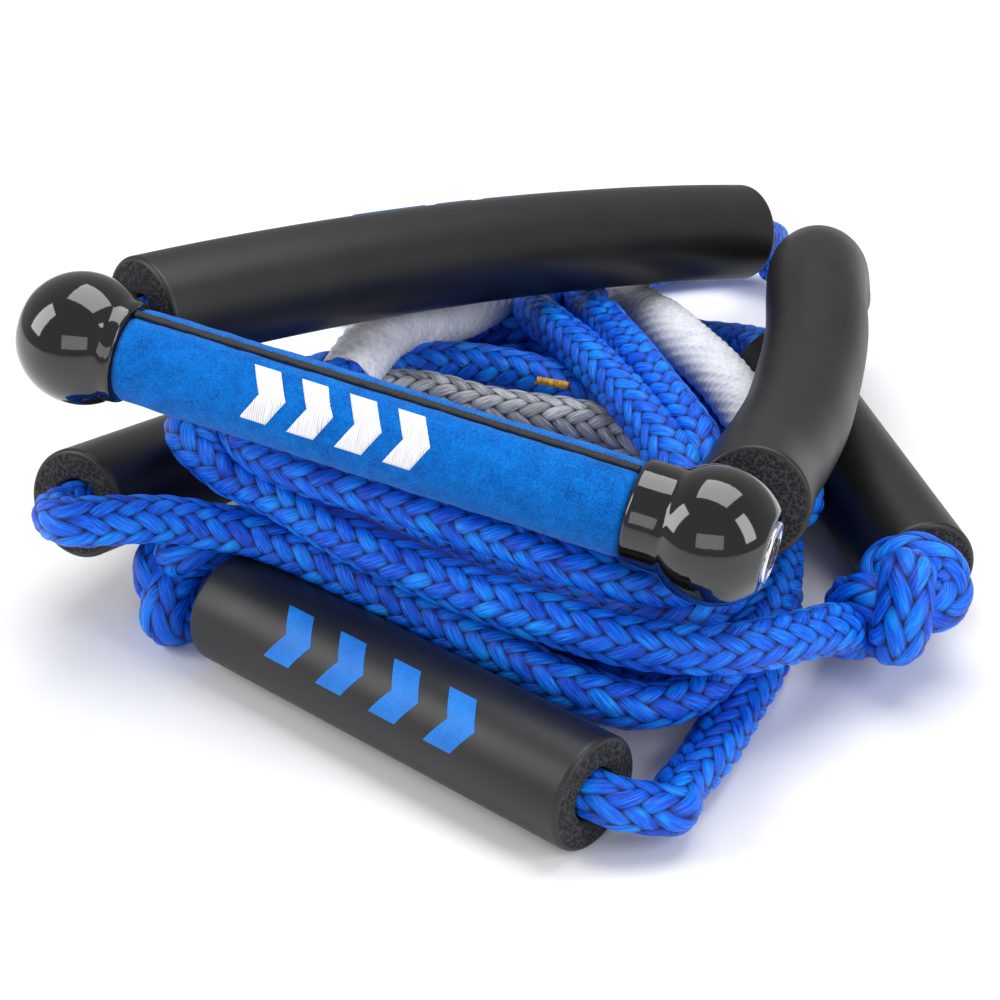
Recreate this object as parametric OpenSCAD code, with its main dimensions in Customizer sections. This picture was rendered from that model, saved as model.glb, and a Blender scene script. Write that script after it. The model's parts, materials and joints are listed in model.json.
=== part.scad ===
// Surf tow handle with its rope coiled for storage.
// +X runs along the grip bar, +Y from the bar towards the bridle's apex,
// +Z up, and the floats and the coil stand on z = 0.

/* [Handle bar] */
// Distance between the centres of the two ball ends
handle_cc = 212; // [200:1:230]
// Outside diameter of the aluminium bar tube
bar_od = 25.4; // [22:0.1:26]
// Wall thickness of the bar tube
bar_wall = 1.6; // [1.2:0.1:2]
// Outside diameter of the padded grip sleeve
grip_od = 30.4; // [28:0.2:32]
// Diameter of the moulded ball on each end
ball_d = 43; // [41:0.5:45]
// Diameter of the collar that caps the grip sleeve
collar_d = 33.4; // [31:0.2:35]
// Height of the bar's middle above the floor
bar_height = 98.5; // [97:0.5:102]
// Slope of the bar down to the right, in degrees
bar_slope = 7.86; // [7:0.01:8.5]

/* [Floats] */
// Outside diameter of every foam float
float_d = 38; // [36:0.5:38]
// Bore of the three straight rope floats
float_bore = 17; // [16:0.5:18]
// Length of the front rope float
front_float_l = 157; // [140:1:160]
// Length of the left rope float
left_float_l = 118; // [100:1:120]
// Length of the right rope float
right_float_l = 152; // [140:1:157]
// Bore of the two bridle floats
bridle_bore = 13; // [12:0.5:14]

/* [Rope] */
// Diameter of the main rope where it lies free
rope_d = 16; // [15:0.5:16]
// Diameter of the rope where it is squeezed inside a float
rope_in_float_d = 15; // [14:0.5:15]
// Diameter of the two bridle lines
line_d = 10.4; // [9:0.2:11]
// Diameter of the stretchy bungee section
bungee_d = 20; // [18:0.5:20]
// Diameter of the grey rope section
grey_d = 15; // [14:0.5:15]

/* [Hidden] */

// Shift from the handle's middle to the origin under the middle of the object
org = [16, 110, 0];

hc = [0, 0, bar_height];          // middle of the bar
hl = handle_cc / 2;               // ball centres are at +-hl along the bar
ball_r = ball_d / 2;
tube_r = bar_od / 2;
tube_ir = tube_r - bar_wall;
grip_r = grip_od / 2;
fr = float_d / 2;
facet_x = 17.5;                   // flat of the end badge, from the ball's centre
exit_r = 20.5;                    // bridle line's pivot, from the ball's centre
exit_a = 10;                      // the exit points this far below level
grip_x0 = -88.4;                  // left end of the sleeve
grip_x1 = 80.4;                   // right end of the sleeve

// straight rope floats: [near face centre, plan angle of the axis, upward slope]
ff = [86, -52, 19];   ff_az = 159.3;  ff_el = 0;
fl = [-117, 5, 46];   fl_az = 79.8;   fl_el = -13.2;
fg = [152, 104, 19];  fg_az = 123.4;  fg_el = 0;

// Routes of the rope, by points of whole millimetres
lead_front_pts = [[86,-52,19],[94,-54,17],[101,-48,14],[105,-37,12],[108,-23,9],[109,-9,8],[109,5,8]];
lead_left_pts = [[-117,5,46],[-119,-4,48],[-115,-11,51],[-105,-13,53],[-94,-9,53],[-84,0,51],[-76,12,48],[-70,22,46]];
lead_bridle_pts = [[-18,232,36],[-26,250,29],[-32,272,16],[-28,296,9],[-14,318,9],[6,332,10],[19,337,13]];
lead_boat_pts = [[-14,233,8],[-36,239,8],[-58,247,8],[-78,257,8]];
lead_right_pts = [[80,-9,46],[98,-3,43],[113,8,40],[126,27,35],[133,42,30],[138,54,27]];
lead_far_pts = [[68,231,19],[61,242,18],[50,256,13],[36,262,10],[20,258,10],[8,246,13],[2,232,19]];
bungee_pts = [[98,128,26],[88,140,31],[76,158,34],[60,178,39],[44,194,40],[26,214,37],[8,236,31],[-14,250,28],[-33,238,31],[-41,210,39],[-48,160,54],[-56,126,61],[-57,104,62],[-54,84,61]];
grey_pts = [[-60,100,47],[-37,116,48],[-16,113,48],[10,114,48],[36,114,48],[59,108,46],[76,98,44]];
line_l_pts = [[38,279,52],[44,293,47],[45,311,37],[37,328,23]];
line_r_pts = [[76,266,38],[76,284,28],[66,312,17],[45,331,15]];
float_r_pts = [[107,36,75],[103,64,68],[102,95,63],[101,120,60.5],[98,146,59.5],[92,184,60],[84,212,61],[79,236,59],[77,254,51],[76,266,38]];
bk = [30, 338, 15];               // centre of the bridle knot

function unit(v) = v / norm(v);
function crp(a, b, c, d, t) = 0.5 * (2*b + (c - a)*t + (2*a - 5*b + 4*c - d)*t*t + (3*b - a - 3*c + d)*t*t*t);
// k points between each pair of a route's own points, on one smooth curve
function smooth(P, k) = let(n = len(P)) concat([for (i = [0:n-2], j = [0:k-1])
  crp(i == 0 ? 2*P[0] - P[1] : P[i-1], P[i], P[i+1], i == n-2 ? 2*P[n-1] - P[n-2] : P[i+2], j/k)], [P[n-1]]);
function tang(P, i) = unit(P[min(i+1, len(P)-1)] - P[max(i-1, 0)]);

// Round rod along a route
module rod(P, r, n = 10) {
  m = len(P);
  pts = [for (i = [0:m-1]) let(t = tang(P, i), u = unit(cross(t, [0,0,1])), v = cross(u, t))
    for (j = [0:n-1]) P[i] + r*(cos(360*j/n)*u + sin(360*j/n)*v)];
  sides = [for (i = [0:m-2], j = [0:n-1]) let(a = i*n + j, b = i*n + (j+1) % n)
    each [[a, a+n, b+n], [a, b+n, b]]];
  caps = [[for (j = [0:n-1]) j], [for (j = [n-1:-1:0]) (m-1)*n + j]];
  polyhedron(points = pts, faces = concat(sides, caps), convexity = 6);
}

// Tube with a bore along a route, as one closed skin
module pipe(P, ro, ri, n = 24) {
  m = len(P);
  function ring(r) = [for (i = [0:m-1]) let(t = tang(P, i), u = unit(cross(t, [0,0,1])), v = cross(u, t))
    for (j = [0:n-1]) P[i] + r*(cos(360*j/n)*u + sin(360*j/n)*v)];
  q = m*n;
  outer = [for (i = [0:m-2], j = [0:n-1]) let(a = i*n + j, b = i*n + (j+1) % n) each [[a, a+n, b+n], [a, b+n, b]]];
  inner = [for (i = [0:m-2], j = [0:n-1]) let(a = q + i*n + j, b = q + i*n + (j+1) % n) each [[a, b+n, a+n], [a, b, b+n]]];
  e0 = [for (j = [0:n-1]) let(a = j, b = (j+1) % n) each [[a, b, q+b], [a, q+b, q+a]]];
  e1 = [for (j = [0:n-1]) let(a = (m-1)*n + j, b = (m-1)*n + (j+1) % n) each [[a, q+b, b], [a, q+a, q+b]]];
  polyhedron(points = concat(ring(ro), ring(ri)), faces = concat(outer, inner, e0, e1), convexity = 8);
}

// Everything is drawn about the middle of the handle, then moved to the origin
module place() { translate(-org) children(); }
// The handle's own frame: X along the bar
module on_bar() { place() translate(hc) rotate([0, bar_slope, 0]) children(); }
// A frame with +X running into a float from its near face
module on_axis(p, az, el) { place() translate(p) rotate([0, 0, az]) rotate([0, -el, 0]) children(); }
module xcyl(r, x0, x1) { translate([x0, 0, 0]) rotate([0, 90, 0]) cylinder(r = r, h = x1 - x0, $fn = 96); }

// ---- handle ----
module bar_tube() color("silver") on_bar()
  difference() { xcyl(tube_r, grip_x0, grip_x1); xcyl(tube_ir, grip_x0 - 1, grip_x1 + 1); }

module bar_foam_core() color("white") on_bar() xcyl(tube_ir - 0.2, -68, 60);

module grip_sleeve() color([0, 0.43, 0.84]) on_bar()
  difference() { xcyl(grip_r, grip_x0, grip_x1); xcyl(tube_r, grip_x0 - 1, grip_x1 + 1);
    translate([0, 0, grip_r + 0.5]) xcyl(1.15, grip_x0 - 1, grip_x1 + 1); }

// Bound seam that closes the sleeve along its top
module grip_seam() color([0.15, 0.15, 0.16]) on_bar()
  translate([0, 0, grip_r + 0.5]) xcyl(1.1, grip_x0 + 0.5, grip_x1 - 0.5);

// Raised stitched emblem: a row of slanted bars on the side that faces the rider
module grip_emblem() color("white") on_bar()
  intersection() {
    difference() { xcyl(grip_r + 0.9, -48, 24); xcyl(grip_r, -49, 25); }
    rotate([148, 0, 0]) translate([0, grip_r - 9, 0]) rotate([-90, 0, 0])
      linear_extrude(height = 12) for (i = [0:3])
        polygon([[-44 + 16*i, 9], [-35 + 16*i, 9], [-30 + 16*i, 0], [-35 + 16*i, -9], [-44 + 16*i, -9], [-39 + 16*i, 0]]);
  }

// Moulded ball end: side = -1 left, +1 right, and collar = length from the ball's centre to the sleeve
module cap(side, collar) translate([side*hl, 0, 0]) rotate([0, 0, side < 0 ? 0 : 180]) difference() {
  union() {
    // ball, collar and tube spigot, turned about the bar, with the knot chamber open to the outer end
    rotate([0, 90, 0]) rotate_extrude($fn = 96) difference() {
      union() {
        circle(r = ball_r, $fn = 96);
        translate([0, 0]) square([collar_d/2, collar]);
        translate([0, collar - 1]) square([tube_ir, 16]);
      }
      translate([-40, -40]) square([40, 80]);
      translate([-1, -40]) square([60, 40 - facet_x]);
      translate([-1, -40]) square([11, 49]);
    }
    // boss that the bridle line leaves through
    rotate([0, 0, side < 0 ? 0 : 180]) rotate([-90 - exit_a, 0, 0]) translate([0, 0, 13]) cylinder(r = 12, h = 10.6, $fn = 96);
  }
  // line hole, flared at its mouth
  rotate([0, 0, side < 0 ? 0 : 180]) rotate([-90 - exit_a, 0, 0]) rotate_extrude($fn = 64)
    polygon([[0, 2], [5.9, 2], [5.9, 15], [11.2, 26], [0, 26]]);
}
module cap_left() color([0.02, 0.02, 0.02]) on_bar() cap(-1, hl + grip_x0);
module cap_right() color([0.02, 0.02, 0.02]) on_bar() cap(1, hl - grip_x1);

// Plug that shuts the knot chamber, with a shallow seat for the badge
module end_plug(s) {
  difference() {
    xcyl(10, s < 0 ? -hl - facet_x : hl + 10.5, s < 0 ? -hl - 10.5 : hl + facet_x);
    xcyl(9, s < 0 ? -hl - facet_x - 1 : hl + facet_x - 1, s < 0 ? -hl - facet_x + 1 : hl + facet_x + 1);
  }
}
module end_plug_left() color([0.03, 0.03, 0.03]) on_bar() end_plug(-1);
module end_plug_right() color([0.03, 0.03, 0.03]) on_bar() end_plug(1);

// Silver disc with a plain raised ring
module badge(s) {
  b = s < 0 ? -hl - facet_x : hl + facet_x;
  xcyl(8.9, s < 0 ? b - 0.2 : b - 1, s < 0 ? b + 1 : b + 0.2);
  difference() {
    xcyl(8.9, s < 0 ? b - 0.6 : b - 0.5, s < 0 ? b + 0.5 : b + 0.6);
    xcyl(6.9, b - 2, b + 2);
  }
}
module badge_left() color("silver") on_bar() badge(-1);
module badge_right() color("silver") on_bar() badge(1);

// End of the bridle line, knotted inside the cap
module stop_knot(s) translate([s*hl, 0, 0]) {
  translate([s*1.2, 0, 0]) sphere(r = 8.6, $fn = 48);
  rotate([-90 - exit_a, 0, 0]) translate([0, 0, 4]) cylinder(r = line_d/2, h = 10.9, $fn = 48);
}
module stop_knot_left() color([0.05, 0.3, 0.85]) on_bar() stop_knot(-1);
module stop_knot_right() color([0.05, 0.3, 0.85]) on_bar() stop_knot(1);

// ---- bridle ----
// Pivot of each line in the mouth of its cap
function on_bar_pt(p) = hc + [p.x*cos(bar_slope) + p.z*sin(bar_slope), p.y, -p.x*sin(bar_slope) + p.z*cos(bar_slope)];
exit_l = on_bar_pt([-hl, exit_r*cos(exit_a), -exit_r*sin(exit_a)]);
exit_rr = on_bar_pt([hl, exit_r*cos(exit_a), -exit_r*sin(exit_a)]);

// Left bridle float: an arc of 6 mm rise between its two end faces
fa = [-101, 31, 108];
fb = [38, 279, 52];
fc = norm(fb - fa) / 2;
f_rise = 6;
f_R = (fc*fc + f_rise*f_rise) / (2*f_rise);
f_ang = 2*asin(fc/f_R);
f_t = unit(fb - fa);
f_n = unit(cross(f_t, [-0.35, 0.2, 0.92]));   // normal of the arc's plane
f_w = cross(f_n, f_t);                          // the way the arc rises
f_o = (fa + fb)/2 + f_w*(f_rise - f_R);
f_x = unit(fa - f_o);
f_y = cross(f_n, f_x);
f_s = f_y*(fb - f_o) > 0 ? 1 : -1;
module on_arc() place() multmatrix([
  [f_x.x, f_s*f_y.x, f_s*f_n.x, f_o.x], [f_x.y, f_s*f_y.y, f_s*f_n.y, f_o.y], [f_x.z, f_s*f_y.z, f_s*f_n.z, f_o.z], [0, 0, 0, 1]]) children();

module bridle_float_left() color([0.12, 0.12, 0.13]) on_arc()
  rotate_extrude(angle = f_ang, $fn = 180) translate([f_R, 0]) difference() {
    circle(r = fr, $fn = 72); circle(r = bridle_bore/2, $fn = 48); }

// Centre line of the left float's arc
arc_pts = [for (i = [0:8]) let(a = f_s*f_ang*i/8) f_o + f_R*(cos(a)*f_x + sin(a)*f_y)];
module bridle_line_left() color([0.05, 0.3, 0.85]) place()
  rod(concat([exit_l, (exit_l + fa)/2], arc_pts, [for (i = [1:3]) line_l_pts[i]]), line_d/2, 12);

module bridle_float_right() color([0.12, 0.12, 0.13]) place() pipe(smooth(float_r_pts, 2), fr, bridle_bore/2, 24);

module bridle_line_right() color([0.05, 0.3, 0.85]) place()
  rod(concat([exit_rr], smooth(float_r_pts, 2), [for (i = [1:3]) line_r_pts[i]]), line_d/2, 12);

module bridle_knot() color([0.05, 0.3, 0.85]) place() translate(bk) sphere(r = 13, $fn = 64);

// ---- rope floats ----
module foam(l) difference() { xcyl(fr, 0, l); xcyl(float_bore/2, -1, l + 1); }
module float_front() color([0.12, 0.12, 0.13]) on_axis(ff, ff_az, ff_el) foam(front_float_l);
module float_left() color([0.12, 0.12, 0.13]) on_axis(fl, fl_az, fl_el) foam(left_float_l);
module float_right() color([0.12, 0.12, 0.13]) on_axis(fg, fg_az, fg_el) foam(right_float_l);

// ---- rope ----
module rope_in_float_front() color([0, 0.35, 0.9]) on_axis(ff, ff_az, ff_el) xcyl(rope_in_float_d/2, 0, front_float_l + 6);
module rope_in_float_left() color([0, 0.35, 0.9]) on_axis(fl, fl_az, fl_el) xcyl(rope_in_float_d/2, 0, left_float_l + 8);
module rope_in_float_right() color([0, 0.35, 0.9]) on_axis(fg, fg_az, fg_el) xcyl(rope_in_float_d/2, -14, right_float_l + 10);

// Lower turns of the coil, as their outer shape
coil_h = 36;
module rope_coil() color([0, 0.35, 0.9]) place() linear_extrude(height = coil_h)
  polygon([[-70,32],[-52,25],[-20,15],[10,6],[36,-4],[66,-14],[88,-18],[102,-12],[112,2],[118,24],[121,50],[120,78],
    [114,102],[103,128],[86,158],[66,186],[44,210],[18,230],[-8,240],[-24,236],[-50,214],[-68,190],[-76,160],[-76,84],[-76,50]]);

// Upper turns along the front, under the grip
module rope_coil_front() color([0, 0.38, 0.95]) place() translate([0, 0, coil_h]) linear_extrude(height = 31)
  polygon([[-84,44],[-88,32],[-78,20],[-50,12],[-20,1],[10,-8],[40,-17],[60,-18],[76,-16],[85,-8],[86,4],[80,16],[60,30],[30,36],[0,42],[-30,50],[-56,56],[-72,54]]);

// Upper turns along the back, inside the bridle
module rope_coil_back() color([0, 0.38, 0.95]) place() translate([0, 0, coil_h]) linear_extrude(height = 19)
  polygon([[56,62],[68,60],[77,68],[78,80],[68,98],[54,120],[40,140],[24,160],[8,172],[-6,172],[-12,162],[-6,146],[12,124],[28,102],[42,80]]);

module rope_lead_front() color([0, 0.35, 0.9]) place() rod(smooth(lead_front_pts, 1), rope_d/2);
module rope_lead_left() color([0, 0.35, 0.9]) place() rod(smooth(lead_left_pts, 1), rope_d/2);
module rope_lead_bridle() color([0, 0.35, 0.9]) place() rod(smooth(lead_bridle_pts, 1), rope_d/2);
module rope_lead_boat() color([0, 0.35, 0.9]) place() rod(lead_boat_pts, rope_d/2);
module rope_lead_right() color([0, 0.35, 0.9]) place() rod(lead_right_pts, rope_d/2);
module rope_lead_far() color([0, 0.35, 0.9]) place() rod(lead_far_pts, rope_d/2);
module bungee_section() color([0.93, 0.93, 0.95]) place() rod(smooth(bungee_pts, 1), bungee_d/2, 12);
module grey_section() color([0.62, 0.64, 0.67]) place() rod(smooth(grey_pts, 1), grey_d/2);

// Stop knot against the front float's far end
module knot_front() color([0, 0.35, 0.9]) on_axis(ff, ff_az, ff_el) translate([front_float_l + 17.5, 0, -1]) sphere(r = 17, $fn = 64);
// Stop knot against the right float's near end
module knot_right() color([0, 0.35, 0.9]) place() translate([150, 73, 23]) sphere(r = 22.5, $fn = 64);

// Whipping that marks the joint of the grey section
module whipping_band() color([0.8, 0.6, 0.15]) place() translate([4, 123, 57.4]) rotate([0, 90, 0]) cylinder(r = 2, h = 14, $fn = 32);

// Spliced loop at the boat's end
module boat_loop() color([0, 0.35, 0.9]) place() translate([-106, 268, 8.2]) rotate_extrude($fn = 120) translate([24, 0]) circle(r = 7.8, $fn = 48);

bar_tube();
bar_foam_core();
grip_sleeve();
grip_seam();
grip_emblem();
cap_left();
cap_right();
end_plug_left();
end_plug_right();
badge_left();
badge_right();
stop_knot_left();
stop_knot_right();
bridle_line_left();
bridle_line_right();
bridle_float_left();
bridle_float_right();
bridle_knot();
float_front();
float_left();
float_right();
rope_coil();
rope_coil_front();
rope_coil_back();
rope_in_float_front();
rope_in_float_left();
rope_in_float_right();
rope_lead_front();
rope_lead_left();
rope_lead_right();
rope_lead_far();
rope_lead_bridle();
rope_lead_boat();
knot_front();
knot_right();
bungee_section();
grey_section();
whipping_band();
boat_loop();
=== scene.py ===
import bpy, bmesh, json, math
import numpy as np
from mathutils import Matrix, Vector

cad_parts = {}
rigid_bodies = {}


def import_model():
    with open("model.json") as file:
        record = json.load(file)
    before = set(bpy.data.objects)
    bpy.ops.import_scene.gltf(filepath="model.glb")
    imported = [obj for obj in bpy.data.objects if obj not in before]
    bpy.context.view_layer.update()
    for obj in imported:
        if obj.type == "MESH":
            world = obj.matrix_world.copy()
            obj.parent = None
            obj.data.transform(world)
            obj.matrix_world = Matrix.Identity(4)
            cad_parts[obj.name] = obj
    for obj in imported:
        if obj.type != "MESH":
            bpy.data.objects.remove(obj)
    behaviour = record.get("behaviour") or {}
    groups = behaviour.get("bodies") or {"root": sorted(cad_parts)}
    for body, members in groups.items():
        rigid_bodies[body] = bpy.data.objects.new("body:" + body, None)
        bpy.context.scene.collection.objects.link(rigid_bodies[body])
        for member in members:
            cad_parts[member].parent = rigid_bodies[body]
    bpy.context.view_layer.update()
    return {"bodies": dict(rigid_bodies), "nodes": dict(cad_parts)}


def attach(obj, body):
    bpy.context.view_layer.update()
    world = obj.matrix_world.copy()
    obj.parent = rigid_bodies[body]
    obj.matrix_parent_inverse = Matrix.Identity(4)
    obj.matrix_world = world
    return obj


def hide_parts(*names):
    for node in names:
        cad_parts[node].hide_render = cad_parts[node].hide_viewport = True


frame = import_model()
NODES, BODIES = frame["nodes"], frame["bodies"]
scene = bpy.context.scene

# The route below is in millimetres about the middle of the handle; ORG moves it to the row frame
ORG = np.array([16.0, 110.0, 0.0])
def M(p): return (np.asarray(p, float)-ORG)/1000.0
def V(*a): return np.array(a, float)
def unit(v):
    v = np.array(v, float); return v/np.linalg.norm(v)

# ------------------------------------------------------------------ camera
cam_d = bpy.data.cameras.new("camera"); cam = bpy.data.objects.new("camera", cam_d)
scene.collection.objects.link(cam); scene.camera = cam
cam_d.lens = 89.4; cam_d.sensor_width = 36; cam_d.clip_start = 0.05; cam_d.clip_end = 50
cam.location = M((263.4, -616.0, 475.1))
cam.rotation_euler = (math.radians(90-30.906), 0, math.radians(20.22))

# ------------------------------------------------------------------ the rope's route
FF, FD, FL = V(86, -52, 19), unit((-0.9354, 0.3535, 0)), 157.0
LF, LD, LL = V(-117, 5, 46), unit((0.1724, 0.9582, -0.2284)), 118.0
RF, RD, RL = V(152, 104, 19), unit((-0.5505, 0.8348, 0)), 152.0

OUT = [(-58,46),(-30,30),(6,19),(40,11),(66,7),(86,12),(98,28),(102,52),(99,80),(90,110),(76,138),(60,164),(40,188),(14,204),(-14,206),(-40,194),(-58,172),(-66,144),(-68,112),(-68,78)]
CEN, LOOPC = V(18, 100), V(-106, 268, 8.2)

def turn(s0, s1, z0, z1, i0, n):
    """Turns of the coil: n points of the outline from point i0, scaled from s0 to s1."""
    out = []
    for k in range(n):
        f = k/(n-1); q = CEN+(V(*OUT[(i0+k) % 20])-CEN)*(s0+(s1-s0)*f)
        out.append((q[0], q[1], z0+(z1-z0)*f))
    return out

def inside(base, d, a, b, n): return [tuple(base+d*(a+(b-a)*k/(n-1))) for k in range(n)]

def overhand(c, e1, e2, a, n=26, t0=1.08, t1=2.92):
    """An overhand knot about c, with the rope coming in and going out along e1."""
    e1 = unit(e1); e2 = np.array(e2, float); e2 = unit(e2-e1*np.dot(e1, e2)); e3 = np.cross(e1, e2)
    out = []
    for k in range(n):
        t = math.pi*(t0+(t1-t0)*k/(n-1))
        x = math.sin(t)+2*math.sin(2*t); y = math.cos(t)-2*math.cos(2*t)+0.4; z = -math.sin(3*t)*1.25
        out.append(tuple(np.array(c)+a*(x*e1+y*e2+z*e3)))
    return out

# each section: name, points, how strongly it is held to them, and whether it is fixed
ROUTE = []
def add(name, pts, w=0.10, fixed=False): ROUTE.append((name, [V(*p) for p in pts], w, fixed))
add("loop", [tuple(LOOPC+V(24*math.cos(math.radians(a)), 24*math.sin(math.radians(a)), 0)) for a in np.arange(-5, -330, -24)], 0.5, True)
add("tail", [(-74,252,8.5),(-58,246,8.5)], 0.3)
add("floor", [(-36,238,8),(-12,231,8),(14,222,8),(38,206,8),(58,182,8),(76,154,8),(92,126,8),(103,98,8),(109,72,8),(111,46,8),(110,22,8),(109,2,8),(108,-16,9.5),(105,-33,12),(99,-46,15),(93,-54,17.5)], 0.2)
add("in_front", inside(FF, FD, 0, FL, 20), 1, True)
add("knot_front", overhand(FF+FD*(FL+17.5)+V(0,0,-0.5), FD, (0.2,0.3,1), 4.3), 0.5)
add("lower", [(-74,34,16),(-60,40,10)], 0.1)
add("l1", turn(0.90, 0.70, 8, 8, 1, 33), 0.08)
add("l12", turn(0.67, 0.64, 12, 22, 14, 8)[1:], 0.08)
add("l2", turn(0.66, 0.92, 23.5, 23.5, 2, 34), 0.08)
add("to_left", [(-58,186,22),(-76,170,16)], 0.1)
add("ll", [tuple(LF+LD*150), tuple(LF+LD*140), tuple(LF+LD*130)], 0.5)
add("in_left", inside(LF, LD, LL, 0, 15), 1, True)
add("s2", [(-118.5,-4,48),(-115,-12,51),(-105,-14,53),(-94,-10,53),(-80,3,49),(-57,11,42),(-28,8,38),(1,1,34),(38,-6,30),(70,-13,26),(88,-8,22),(99,8,20)], 0.35)
add("s2r", [(105,34,22),(109,60,23),(106,86,23),(97,114,23),(84,142,23),(66,170,23),(44,196,24),(18,212,26),(-10,214,32),(-38,204,38),(-58,182,39),(-64,154,39),(-62,126,39),(-56,100,39),(-46,74,40)], 0.10)
add("m1i", [(-28,54,41),(0,42,41),(30,34,41),(58,34,41),(76,48,41),(81,70,39),(72,92,35)], 0.12)
add("t2", [(56,112,34),(38,129,40),(8,142,46),(-25,144,47),(-50,134,48),(-72,112,50),(-86,84,54),(-91,54,60)], 0.25)
add("s3", [(-84,28,65),(-67,20,62),(-49,15,60),(-31,9,57),(-13,3,55),(13,-2,52),(39,-7,50),(60,-9,48),(79,-9,46),(98,-3,43),(113,8,40),(126,27,35),(133,42,30)], 0.45)
add("knot_right", overhand((148,73,24.5), (0.1,1,-0.05), (0.75,0,0.66), 5.0), 0.5)
add("rl", [tuple(RF-RD*4)], 0.5)
add("in_right", inside(RF, RD, 0, RL, 20), 1, True)
add("bit", [tuple(RF+RD*(RL+12)),(50,258,13),(36,263,10),(20,259,11),(4,247,16),(-12,230,26),(-24,212,38)], 0.2)
add("t1l", [(-22,196,46),(-9,176,52),(13,148,58),(36,119,62),(55,95,63),(72,74,62),(86,54,58),(96,34,55),(92,14,56),(78,2,62)], 0.35)
add("s4", [(60,-2,67),(45,0,69),(19,2,72),(-10,5,74),(-38,8,75),(-60,22,72),(-71,44,68),(-66,66,64)], 0.35)
add("bungee", [(-55,84,61),(-56,104,62),(-56,126,61),(-48,160,54),(-43,190,46),(-40,214,38),(-33,238,31),(-14,250,28),(8,236,31),(26,214,37),(44,194,40),(60,178,39),(76,158,34),(88,140,31)], 0.3)
add("u", [(98,126,32),(106,110,36),(103,96,40),(90,93,43)], 0.1)
add("grey", [(76,98,46),(59,108,47),(36,114,48),(10,114,48),(-16,113,48),(-37,116,48),(-56,110,46)], 0.3)
add("m1l", [(-67,90,44),(-64,66,43),(-50,46,43)], 0.1)
add("m1", [(-30,32,43),(10,21,43),(50,13,42),(78,12,41),(94,26,40),(100,48,43),(94,67,51)], 0.12)
add("t1r", [(79,86,60),(62,109,60),(44,134,59),(24,164,55),(6,192,50),(-12,226,42)], 0.35)
add("lead", [(-26,250,29),(-32,272,16),(-28,296,9),(-14,318,9),(6,332,10)], 0.15)
add("knot_end", [(22,338,13),(30,338,15)], 0.6, True)

def hermite(P, k):
    """Points on a smooth curve through P, with k pieces a span, and each one's place along P."""
    Q = np.vstack([2*P[0]-P[1], P, 2*P[-1]-P[-2]]); out = []; par = []
    for i in range(1, len(Q)-2):
        p0, p1, p2, p3 = Q[i-1:i+3]
        d1 = max(np.linalg.norm(p2-p1), 1e-6); d0 = max(np.linalg.norm(p1-p0), 1e-6); d2 = max(np.linalg.norm(p3-p2), 1e-6)
        m1 = ((p2-p1)/d1*d0/(d0+d1)+(p1-p0)/d0*d1/(d0+d1))*d1
        m2 = ((p3-p2)/d2*d1/(d1+d2)+(p2-p1)/d1*d2/(d1+d2))*d1
        for t in np.linspace(0, 1, k, endpoint=False):
            out.append((2*t**3-3*t*t+1)*p1+(t**3-2*t*t+t)*m1+(-2*t**3+3*t*t)*p2+(t**3-t*t)*m2); par.append(i-1+t)
    out.append(P[-1]); par.append(len(P)-1.0)
    return np.array(out), np.array(par)

def even(P, step, *more):
    """P and any arrays that go with it, at even spacing."""
    d = np.r_[0, np.cumsum(np.linalg.norm(np.diff(P, axis=0), axis=1))]
    n = max(2, int(round(d[-1]/step))+1); s = np.linspace(0, d[-1], n)
    def at(A):
        A = np.asarray(A, float)
        return np.interp(s, d, A) if A.ndim == 1 else np.stack([np.interp(s, d, A[:, k]) for k in range(A.shape[1])], 1)
    return (at(P), s)+tuple(at(A) for A in more)

def length(P): return float(np.linalg.norm(np.diff(P, axis=0), axis=1).sum())

pts = []; wts = []; fix = []; sec_of = []
for k, (name, L, w, f) in enumerate(ROUTE):
    for p in L: pts.append(p); wts.append(w); fix.append(f); sec_of.append(k)
pts = np.array(pts)
dense, par = hermite(pts, 12)
T, S_AT, par = even(dense, 8.0, par)
N_ALL = len(T); STEP = length(T)/(N_ALL-1)
lo_i = np.floor(par+1e-6).astype(int); hi_i = np.minimum(len(pts)-1, np.ceil(par-1e-6).astype(int)); mid_i = np.minimum(len(pts)-1, np.round(par).astype(int))
WT = np.array([wts[i] for i in mid_i]); PIN = np.array([fix[a] and fix[b] for a, b in zip(lo_i, hi_i)])
SEC = np.array([ROUTE[sec_of[i]][0] for i in lo_i])
RAD = np.full(N_ALL, 7.9)
for name, r in (("grey", 7.4), ("bungee", 9.6), ("in_front", 7.4), ("in_left", 7.4), ("in_right", 7.4), ("knot_front", 6.8), ("knot_right", 7.9)): RAD[SEC == name] = r

H0, H1 = V(-105, 0, 113), V(105, 0, 84)
BFL = [V(-101,31,108), V(-64,97,97.5), V(-26,164,82.6), V(8,224,66.5), V(38,279,52)]
BFR = [V(107,36,75), V(102,95,63), V(98,146,59.5), V(92,184,60), V(84,212,61), V(79,236,59), V(77,254,51), V(76,266,38)]
CAPS = []
def ids(name):
    m = np.nonzero(SEC == name)[0]; return int(m.min())-2, int(m.max())+2
CAPS.append((FF, FF+FD*FL, 19.5)+ids("in_front")); CAPS.append((LF, LF+LD*LL, 19.0)+ids("in_left")); CAPS.append((RF, RF+RD*RL, 19.0)+ids("in_right"))
CAPS += [(H0+V(15,0,-2.1), H1-V(20,0,-2.8), 15.8, -9, -9), (H0, H0+V(1,0,0), 22.2, -9, -9), (H1, H1+V(1,0,0), 22.2, -9, -9), (H1-V(20,0,-2.8), H1, 17.5, -9, -9)]
for B in (BFL, BFR): CAPS += [(a, b, 19.6, -9, -9) for a, b in zip(B[:-1], B[1:])]

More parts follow.
